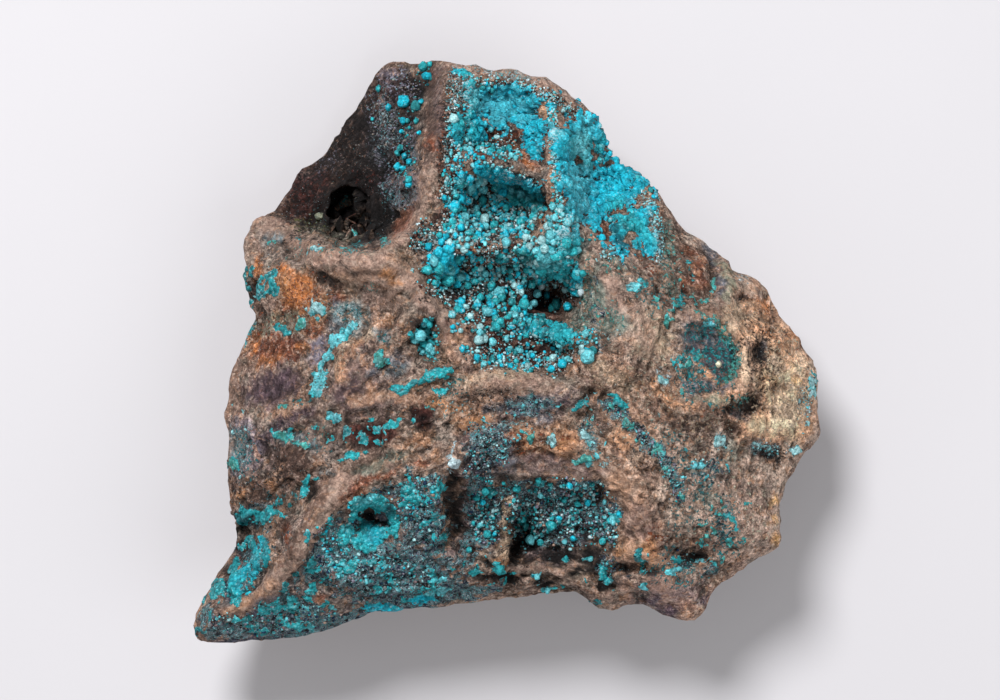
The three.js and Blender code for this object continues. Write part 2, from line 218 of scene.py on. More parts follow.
# ---------------------------------------------------------------- the stone's outline seen from above
OUTLINE = [
    (52.6, -14), (52, -10), (51.9, -6), (51.9, -2.5), (49.8, 0), (48.8, 2.8), (46.8, 4), (45, 7), (43, 10.8),
    (41.7, 12.3), (37.8, 13.2), (36.7, 15), (32.7, 18.3), (29.5, 20), (27, 23.5), (24.8, 26.9), (21, 29.2),
    (17.8, 31.5), (16.3, 35.5), (15.4, 38.2), (12.5, 41.5), (8.8, 44), (7.2, 45.2), (4.6, 45.2), (0.5, 46.5),
    (-2, 46), (-4.7, 47.4), (-7.5, 47.3), (-11.5, 48.4), (-14.5, 47.8), (-18.5, 48.7), (-21, 47.5),
    (-23.5, 43.8), (-24.2, 41.5), (-27.2, 37.8), (-31, 32), (-34.8, 29.9), (-36, 26.5), (-38.7, 23.8),
    (-39.4, 22.4), (-41.2, 22.1), (-43, 19), (-43.4, 12), (-41.8, 7), (-41.8, 5), (-43.7, 0), (-45.8, -4),
    (-45.7, -8), (-46.8, -11), (-45.8, -14), (-46.3, -22), (-45.1, -30), (-45.8, -33), (-48.2, -37.5),
    (-51.2, -42), (-52.5, -46), (-51, -48.3), (-45, -48.7), (-34, -48.2), (-28, -46.3), (-22, -43.8),
    (-16, -42.9), (-11, -42.8), (-8, -42), (0, -41.2), (6, -40.2), (11.5, -40.1), (13.5, -41.3), (16, -43.6),
    (18, -43.2), (20.2, -42.2), (23.8, -42.4), (25.5, -44.2), (28, -45.1), (32.3, -44.2), (33.3, -42.5),
    (33.6, -40.3), (36, -38.3), (40, -36), (42.2, -34), (44.4, -33.7), (46.1, -31.5), (45.5, -30),
    (45.9, -27.8), (45.3, -26), (46.6, -22), (49.5, -17.5),
]
DIRECTIONS = 540
SMOOTH_STEPS = 5  # neighbouring directions taken together


def outline_reach():
    """How far the outline reaches from the middle in each of DIRECTIONS directions."""
    corners = np.array(OUTLINE)
    nexts = np.roll(corners, -1, axis=0)
    reach = np.zeros(DIRECTIONS)
    for step in range(DIRECTIONS):
        a = 2 * math.pi * step / DIRECTIONS
        ray = np.array([math.cos(a), math.sin(a)])
        one = ray[0] * corners[:, 1] - ray[1] * corners[:, 0]
        two = ray[0] * nexts[:, 1] - ray[1] * nexts[:, 0]
        crossing = (one > 0) != (two > 0)
        t = one[crossing] / (one[crossing] - two[crossing])
        hits = corners[crossing] + t[:, None] * (nexts[crossing] - corners[crossing])
        reach[step] = (hits @ ray).max()
    return reach


def mesh_reach(places):
    """How far the mesh's own points reach in each of those directions."""
    angle = np.arctan2(places[:, 1], places[:, 0])
    step = np.round(angle / (2 * math.pi) * DIRECTIONS).astype(int) % DIRECTIONS
    far = np.zeros(DIRECTIONS)
    for turn in (-1, 0, 1):
        np.maximum.at(far, (step + turn) % DIRECTIONS, np.hypot(*places.T))
    return far


def reach_change(places):
    """How far the mesh's own edge reaches in each direction, and how much further the outline lies."""
    here = mesh_reach(places)
    change = outline_reach() / here
    half = SMOOTH_STEPS // 2
    change = np.concatenate([change[-half:], change, change[:half]])
    return here, np.convolve(change, np.ones(SMOOTH_STEPS) / SMOOTH_STEPS, "valid")


# ---------------------------------------------------------------- relief
# Paths that more than one form or stain follows.
LOWER_LEFT_BEND = [(-33, -33), (-27, -38), (-19, -39.5), (-12, -38.6)]
HOLLOW_RIM = [(-12.4, 48), (-11.2, 42), (-11.4, 36), (-11.8, 31)]
SHOULDER = [(-41.6, 21.4), (-37, 19.6), (-33, 17), (-28, 14.8)]
LEFT_NOTCH = [(-43, -1.6), (-44.8, -4.6), (-44.8, -9)]

# Small ridges and grooves: height, width and path.
LINES = [
    (1.4, 1.1, [(7.6, 41), (8.2, 36), (7.4, 31), (8.4, 26), (9, 21)]),
    (1.3, 0.9, [(-5, 31), (-1, 30.4), (2.6, 29.2), (5.6, 27.2), (7.4, 25)]),
    (-1.7, 1.3, [(-3, 28.4), (1.5, 27), (4.5, 26.2), (6.2, 24.6)]),
    (-1.4, 1.1, [(4.6, 36.5), (5.4, 33), (6.2, 31)]),
    (0.9, 0.9, [(-7, 17.2), (-3, 16.6), (0.5, 17.4)]),
    (1.1, 0.9, [(3.6, 4.2), (7, 2.6), (12, 1.8)]),
    (-1.7, 1.0, [(2.6, 2.8), (4, 2.0), (7.5, 0.6)]),
    (0.9, 1.0, [(-18, -6.4), (-14, -4.6), (-9.5, -3.6)]),
    (-0.7, 0.4, [(-25, -10.2), (-23, -10.5), (-21, -10.1)]),
    (0.9, 1.2, [(-25, -9), (-20, -8), (-15, -8.4)]),
    (0.8, 1.0, [(-27.5, 4.6), (-26.4, 0.5), (-26.8, -4)]),
    (-0.9, 0.8, [(33, 17), (34.5, 13), (34.2, 10), (31.5, 7.7)]),
    (0.8, 1.0, [(36, 14.5), (36.6, 11), (36, 7.5)]),
    (2.6, 0.75, [(0.6, -24.5), (-0.2, -28), (-0.6, -33), (-1.6, -34.6)]),
    (1.6, 0.6, [(-1, -36.4), (3, -35.8), (6, -36.2), (9.6, -36.6), (11.6, -35.2)]),
    (-1.9, 0.7, [(0.4, -37.4), (2, -37.6)]),
    (-1.9, 0.7, [(5.6, -38), (8.6, -38)]),
    (-1.3, 0.9, [(18.6, -35.8), (22, -35.4), (25, -36.6)]),
    (0.9, 0.8, [(17.4, -36), (19, -38.4), (20.6, -41)]),
    (-1.6, 0.9, [(-8.6, -20.4), (-9, -23), (-8.7, -26), (-8, -28.6)]),
    (0.8, 0.9, [(-6, -20), (-5.6, -24), (-5.8, -28)]),
    (0.9, 1.1, [(-13, -21.5), (-12, -26), (-10.4, -31), (-9, -35)]),
    (0.7, 0.9, LOWER_LEFT_BEND),
    (0.5, 0.7, [(-30, -36), (-24, -37.6), (-17, -36.4), (-13, -33)]),
    (-1.0, 0.9, [(-45.6, -41.4), (-41, -38.4), (-38.4, -35.4)]),
    (1.1, 1.6, [(-27.6, -21), (-31, -27), (-34, -33), (-39.4, -40)]),
    (-0.9, 0.7, [(-34.6, -24.6), (-36.4, -29), (-37.6, -33)]),
    (-0.8, 1.0, [(-41.5, -23.4), (-38.6, -24), (-36, -22)]),
    (0.8, 1.3, [(-38, -13.4), (-35, -11.2), (-30, -11)]),
    (0.7, 1.1, [(-44, -12), (-40, -14.6), (-36, -15.6)]),
    (0.7, 0.9, [(20, -11), (24, -14.5), (28, -19.5), (30, -26)]),
    (-0.8, 0.8, [(16.5, -8), (22, -13), (26.4, -19), (28.4, -25)]),
    (0.8, 0.9, [(28, 4), (32, 5.8), (37, 4.6), (39.6, 0), (38.8, -4.6), (34, -8)]),
    (-0.6, 0.6, [(30.2, 0), (33, 2.4), (36.4, 1.4), (37.8, -2.4), (35.6, -6)]),
    (-0.9, 0.9, [(-41.5, 11), (-40.5, 7.5), (-41, 3)]),
    (0.9, 1.0, [(-39.5, 10.5), (-38, 5.5), (-38.6, 1.5)]),
    (0.8, 1.0, [(12, -1), (10, -2.6), (6, -2), (2, -1)]),
    (1.0, 1.3, [(-10, -8), (-3, -5.4), (5, -5.4), (11, -7)]),
    (1.0, 1.6, [(-41, 21.4), (-36.4, 19.8), (-33, 17.2), (-28, 15.2), (-20, 14.2), (-15.6, 11.8)]),
    (0.7, 0.7, [(31.6, -2.8), (33.4, -4.2), (35, -5.6)]),
    (-0.7, 0.5, [(-36, -25.4), (-40, -26), (-44, -25.4)]),
    (-0.8, 0.6, [(-45.6, -33), (-43.6, -34.4), (-42, -33)]),
    (-0.7, 0.5, [(-40.4, -37), (-40.8, -33.6), (-40.2, -31.4)]),
]

# Small pits and knobs: height, x, y, long, wide and turn.
SPOTS = [
    (-1.2, -31.2, 22.4, 2, 1.4, 20), (-1.2, -20, 33, 3, 1.6, 70), (-1.1, -16.4, 43.6, 2.4, 1.8),
    (-0.9, -22.6, 36.4, 1.6, 2.4, 20), (-1, -32, 27.6, 0.7), (-1, -20, 22, 2, 1.6), (-2.6, 7.2, 8.6, 1.6, 2),
    (-1.4, 5, 11, 1.8, 1.2, 20), (-2.4, 2, -30, 1.3, 3), (-1.7, -22, -27.2, 1.8, 1.1),
    (-1.2, -24.2, -28.6, 1.3, 0.9, 40), (-1, -19.8, -28.6, 1.1, 0.8), (-1.5, 14.8, -23.6, 0.9, 1.8),
    (-1.2, 42.2, 0, 1.5, 1.2, 80), (-1.2, 40.8, -8.8, 2, 1.3, 20), (-0.9, 37, -9.6, 1.3, 0.9),
    (-0.9, 39, 8.6, 1.4, 1), (-0.7, -30, 11.4, 1.2, 0.9), (-0.5, -24, 10, 0.9, 0.7), (1.3, 20, -33, 1.7, 1.6),
    (0.7, 29.4, -43, 2.2, 1.4), (-1, -11, -30, 1, 0.9), (-1.5, -43.6, -30.4, 1, 1.3, 20),
    (-1.1, -46, -36.6, 1.1, 0.9, 60), (0.5, -30.8, 7, 1.5, 1.4), (0.5, 35, -2.4, 1.4, 1.2),
    (-1, 31.6, -34, 2, 1, 10), (-0.6, -38.5, -21.5, 2, 1.6), (-0.6, -32.6, -23, 1.8, 1, 10),
    (-0.6, 11.6, 31.6, 1, 1.2), (-0.7, 14.6, 25, 1.2, 1), (-0.9, 17.6, 22.6, 1.2, 1.6),
    (-0.9, 17, 19, 1, 1.4), (-1.1, -13.4, -11, 2.6, 1.8, -20), (-1.1, -20.6, -13.4, 2.8, 1.4),
    (-1, 14, -7.6, 1.4, 1.6, 30), (-0.9, 37.4, -13, 1.4, 1), (-0.8, 32, -16, 1.2, 0.9),
    (-1.4, 3.4, -36.8, 1, 0.8), (-1, 7.6, -37.8, 1.2, 0.6), (-1, 44, -17.4, 2.6, 0.9, -30),
    (-1.2, 23, -35.8, 2.2, 0.9, -10), (-0.5, -20.5, -16.8, 1.8, 1, 20), (-0.5, 3, -16.5, 3, 2),
    (-0.8, -2, -14.6, 2.6, 2.4), (-1.2, -2.4, 34.8, 2, 1.5), (-0.9, 2.2, 33, 1.6, 1.4, -30),
    (0.9, 8, 36, 1.3, 1.2), (0.6, -9.6, 13.8, 2.2, 2.6), (-1, 18.6, 17.6, 1.1, 2), (-0.6, 23, 25.6, 1.2, 1.6),
    (-1, 12.6, -34.2, 1.6, 1), (-0.7, -28.6, -20.4, 1.6, 0.8), (-0.5, -37.4, -6.4, 4.6, 2.6, 8),
    (-0.7, 45.6, 0.6, 1.1, 0.8, 40), (-0.6, 44, 3.6, 1, 0.7), (-0.6, 40, 5.8, 1.2, 0.7),
    (0.6, 47, -13, 1.6, 1.2), (-0.6, 30, -17, 1.2, 0.8), (-0.6, 33.6, -21, 1, 0.8), (-0.6, -12.4, 3.6, 1.2),
    (-0.7, 10.4, -40, 1, 0.7), (-0.4, 5, -6.8, 4, 1, 4),
]

# Square-cornered pits: x, y, half width, half height and depth.
SQUARE_PITS = [(-25.9, 23.2, 2.9, 3.4, 3.4), (-25.4, 21.8, 1.7, 1.9, 1.6)]

# Bands that flow round a form: path they follow, how far out they go, distance between two, and height.
FLOWS = [
    ([(-13, -30), (-11.5, -21), (-4, -15), (6, -13.5), (14, -16), (20.5, -22), (24, -30)], 7, 1.9, 0.26),
    ([(-45, -27), (-36, -21), (-28, -17), (-18, -14.5), (-11, -10.5)], 5, 1.7, 0.24),
    ([(-50, -45), (-40, -41), (-36, -34), (-31, -27), (-24, -22), (-12, -18.5)], 4, 1.6, 0.24),
    ([(-40, -12.5), (-32, -9), (-26, -4.5), (-20, 1.5), (-14, 7)], 6, 2.2, 0.24),
    ([(-42, 20), (-34, 17.5), (-26, 14.5), (-18, 12), (-12, 6), (-7, 0)], 5, 2.1, 0.2),
    (LOWER_LEFT_BEND, 5, 1.3, 0.24),
    ([(29, 5), (35, 6), (39.5, 1), (39.5, -5), (35, -9), (28, -8.5)], 5, 1.5, 0.2),
    ([(16, 18), (22, 10), (24, 2), (22, -8), (28, -18)], 6, 1.8, 0.2),
    ([(26, 20), (30, 12), (28, 4)], 4, 1.5, 0.18),
]

# Parts that are craggier than the rest: how much, and where.
CRAGGY = [
    (1.0, [(6, -27.4, 10, 5.6, -4), (-4.4, -27, 2.6, 6.6), (4, -37, 14, 2.4), (-2, -16, 3.4, 4)]),
    (0.8, [(-25, 33, 7, 12, 52), (-18, 35, 3, 11, 10), (-30, 24, 8, 5), (44, 0, 5, 9), (40, -13, 7, 5)]),
    (0.7, [(-2, 12, 10, 5), (-2, 22, 8, 5), (4, 3, 8, 4), (31, -33, 5, 4), (18, -37, 4, 3)]),
    (0.55, [
        (-24, -34, 9, 6), (-13, -29, 3, 7, 10), (-37, -43, 8, 4), (-42, -33, 4, 6, -20), (-22, -13, 7, 3, 8),
    ]),
    (0.4, [(30, -20, 7, 8), (-38, 5, 5, 7), (15, -8, 5, 4), (30, 12, 5, 6)]),
]

# Parts that are worn smooth: how far, and where.
WORN = [
    (0.95, [
        (1.9, [
            (-41.4, 21.2), (-36.4, 19.6), (-33, 17), (-28, 14.8), (-20, 13.6), (-15.6, 11.6), (-11.8, 7.6),
            (-9, 3.4),
        ]),
    ]),
    (0.75, [(1.5, [(-11.8, 46), (-11.2, 38), (-11.8, 31), (-13.2, 26), (-16, 19.6), (-19, 16.4)])]),
    (0.9, [(1.8, [(-27.6, -20.8), (-29.4, -25), (-32, -30), (-35, -34.6), (-40, -41), (-45, -42.6)])]),
    (0.8, [(2, [(0, -18.6), (8, -18.2), (15, -19), (20, -23), (22.4, -29), (26, -36.6), (27, -40)])]),
    (0.9, [(22.8, 3, 2.6, 5), (-21, 10.6, 7, 3.4, -30), (17, 9, 3, 4), (19, 5, 3)]),
    (0.65, [(3, -5, 8, 1.8, -4), (-29, -14, 2.4, 6), (-38, -6, 5, 3, 14), (-45, -6, 1.6, 5), (-25, -6, 4)]),
    (0.8, [
        (-34, 10, 2.4, 2.6), (9.4, -14.8, 2.4, 2.2), (3, -14, 2, 1.6), (-4, -12, 3, 1.2, 20),
        (19, -14.6, 1.6, 2.4, 30),
    ]),
    (0.9, [
        (0.9, [(0.6, -24), (-0.2, -28), (-0.6, -33)]), (1, [(0, -36), (5, -36), (11, -36)]), (20, -33, 1.6),
    ]),
    (0.7, [
        (0.9, [(28, 4), (32, 5.8), (37, 4.6), (39.6, 0), (38.8, -4.6), (34, -8), (28, -8)]),
        (42, -13, 4, 2.4),
    ]),
    (0.7, [(36, 11, 1.2, 3.6), (33, 0, 4), (-22, -19, 5, 1.6, 12), (-31, 0, 1.4, 2), (12, 15, 2.4, 2)]),
    (0.6, [
        (0.9, [(-24, -8.4), (-19, -7.6), (-15, -8.4)]), (26, -37.4, 3, 3.4),
        (0.8, [(17.6, -36), (20.6, -41)]),
    ]),
]

# Craggy forms everywhere, on the craggier parts and on the underside: height, size in mm and seed.
CRAGS = [(0.42, 5.2, 20), (0.3, 2.1, 27)]
EXTRA_CRAGS = [(1.1, 3.1, 61), (0.45, 1.4, 62)]
UNDER_CRAGS = [(0.3, 4.4, 20)]
CRAG_LEVEL = 0.4  # the level of a crag that neither raises nor lowers the stone
SQUARENESS = 7


def painted(face, table, upper, ragged, soft, seed):
    """A number from 0 to 1 at each point, the largest that any row of a table gives it."""
    amount = np.zeros(len(face.points))
    for order, (share, marks) in enumerate(table):
        amount = np.maximum(amount, upper * share * face.cover(marks, ragged, soft, seed + order))
    return amount


def flow_bands(places, wobble, core):
    """Each flow's height, its bands from -1 to 1, and how they fade beyond a core of its reach."""
    for path, reach, apart, rise in FLOWS:
        off = from_path(places, path)
        yield rise, np.cos(2 * math.pi * off / apart + wobble), 1 - smooth(off, core * reach, reach)


def craggy(points, forms):
    return sum(rise * (crags(points, size, seed) - CRAG_LEVEL) for rise, size, seed in forms)


def relief(face, worn):
    """Height of the small forms above the plain face, in mm."""
    points = face.points
    wander = 0.5 * sway(points, 4, (7, 9))
    bent = face.places + wander
    height = np.zeros(len(points))
    for rise, width, path in LINES:
        height += rise * np.exp(-((from_path(bent, path) / width) ** 2))
    for rise, *oval in SPOTS:
        height += rise * np.exp(-(in_oval(bent, *oval) ** 2))
    for x, y, half_wide, half_high, depth in SQUARE_PITS:
        across, along = np.abs((face.places + 0.5 * wander - (x, y)) / (half_wide, half_high)).T
        height -= depth * np.exp(-(across**SQUARENESS + along**SQUARENESS))
    for rise, band, fade in flow_bands(bent, 1.2 * waves(points, 5, 31, 2), 0.4):
        height += rise * band * fade
    rugged = 1 - 0.6 * worn
    height += (1 - worn) * painted(face, CRAGGY, 1.0, 0.3, 0.5, 6) * craggy(points, EXTRA_CRAGS)
    height += rugged * craggy(points, CRAGS)
    return height + rugged * 0.16 * waves(points, 1.0, 23)


# ---------------------------------------------------------------- colour of the bare stone
# The broad ground of each part of the face: colour, strength and marks.
GROUNDS = [
    ("warm_tan", 0.75, [(43, -4, 9, 15), (21, -8, 8, 9), (-3, -7, 10, 4), (21, -27, 6, 9, 20)]),
    ("pale_tan", 0.7, [(24, 2, 5, 7), (18, 7, 4), (38, -24, 9), (31, -22, 6, 7), (47, -6, 5, 10)]),
    ("cream_tan", 1.0, [(46, -7, 5, 7), (48, -12, 3), (40, 5, 4, 3), (46, 0, 4, 5), (24, 2, 3, 5)]),
    ("orange_tan", 0.5, [(44, -12, 7, 4), (44, 5, 5, 7, 20), (36, -8, 4, 2), (6, -14, 9, 3.4)]),
    ("mauve", 0.6, [(-24, -6, 7, 6), (-36, -16, 9, 6, 20), (6, -8.6, 8, 2), (8, -19, 9, 1.6, -4)]),
    ("grey_tan", 0.6, [(-15, 9, 6, 3, -30), (15, 8, 4, 7, 10), (41, -28, 5, 6), (-29, -15, 3, 6)]),
    ("brown", 0.6, [
        (-40, -23, 7, 3.4), (-45, -5, 2.4, 7), (29, -31, 6, 4), (36, -12, 8, 3), (29, 13, 4, 6),
        (24, -4, 4, 5),
    ]),
    ("slate", 0.7, [(-22, -35, 14, 7.6), (-37, -43.4, 9, 4), (-13, -27, 4, 6, 10), (-2, -15.6, 4.4, 4.6)]),
    ("soot", 0.75, [(5.4, -28, 12.4, 7, -4), (-5.4, -26, 3.4, 7), (12, -33, 5, 3)]),
    ("dark_brown", 0.96, [
        (-28, 33, 15, 12, 52), (-27, 24.6, 11.6, 6.6, 6), (-19, 42, 5.4, 5.6), (-34, 26, 5),
        (-24, 19, 7, 2.6),
    ]),
    ("red_brown", 0.92, [
        (-3, 23, 7.4, 6), (-8, 21, 3, 5), (-2.6, 12, 10, 4.6), (0.4, 4.4, 8, 4), (6, 9, 5),
        (2, -0.6, 8, 2, -6),
    ]),
    ("dark_brown", 0.8, [
        (-8.6, 36, 1.8, 9), (-1, 34, 5, 3.6), (-9.6, 12, 4), (-13, 2, 2.6, 4.4), (-13.6, 18.6, 2.6),
    ]),
]

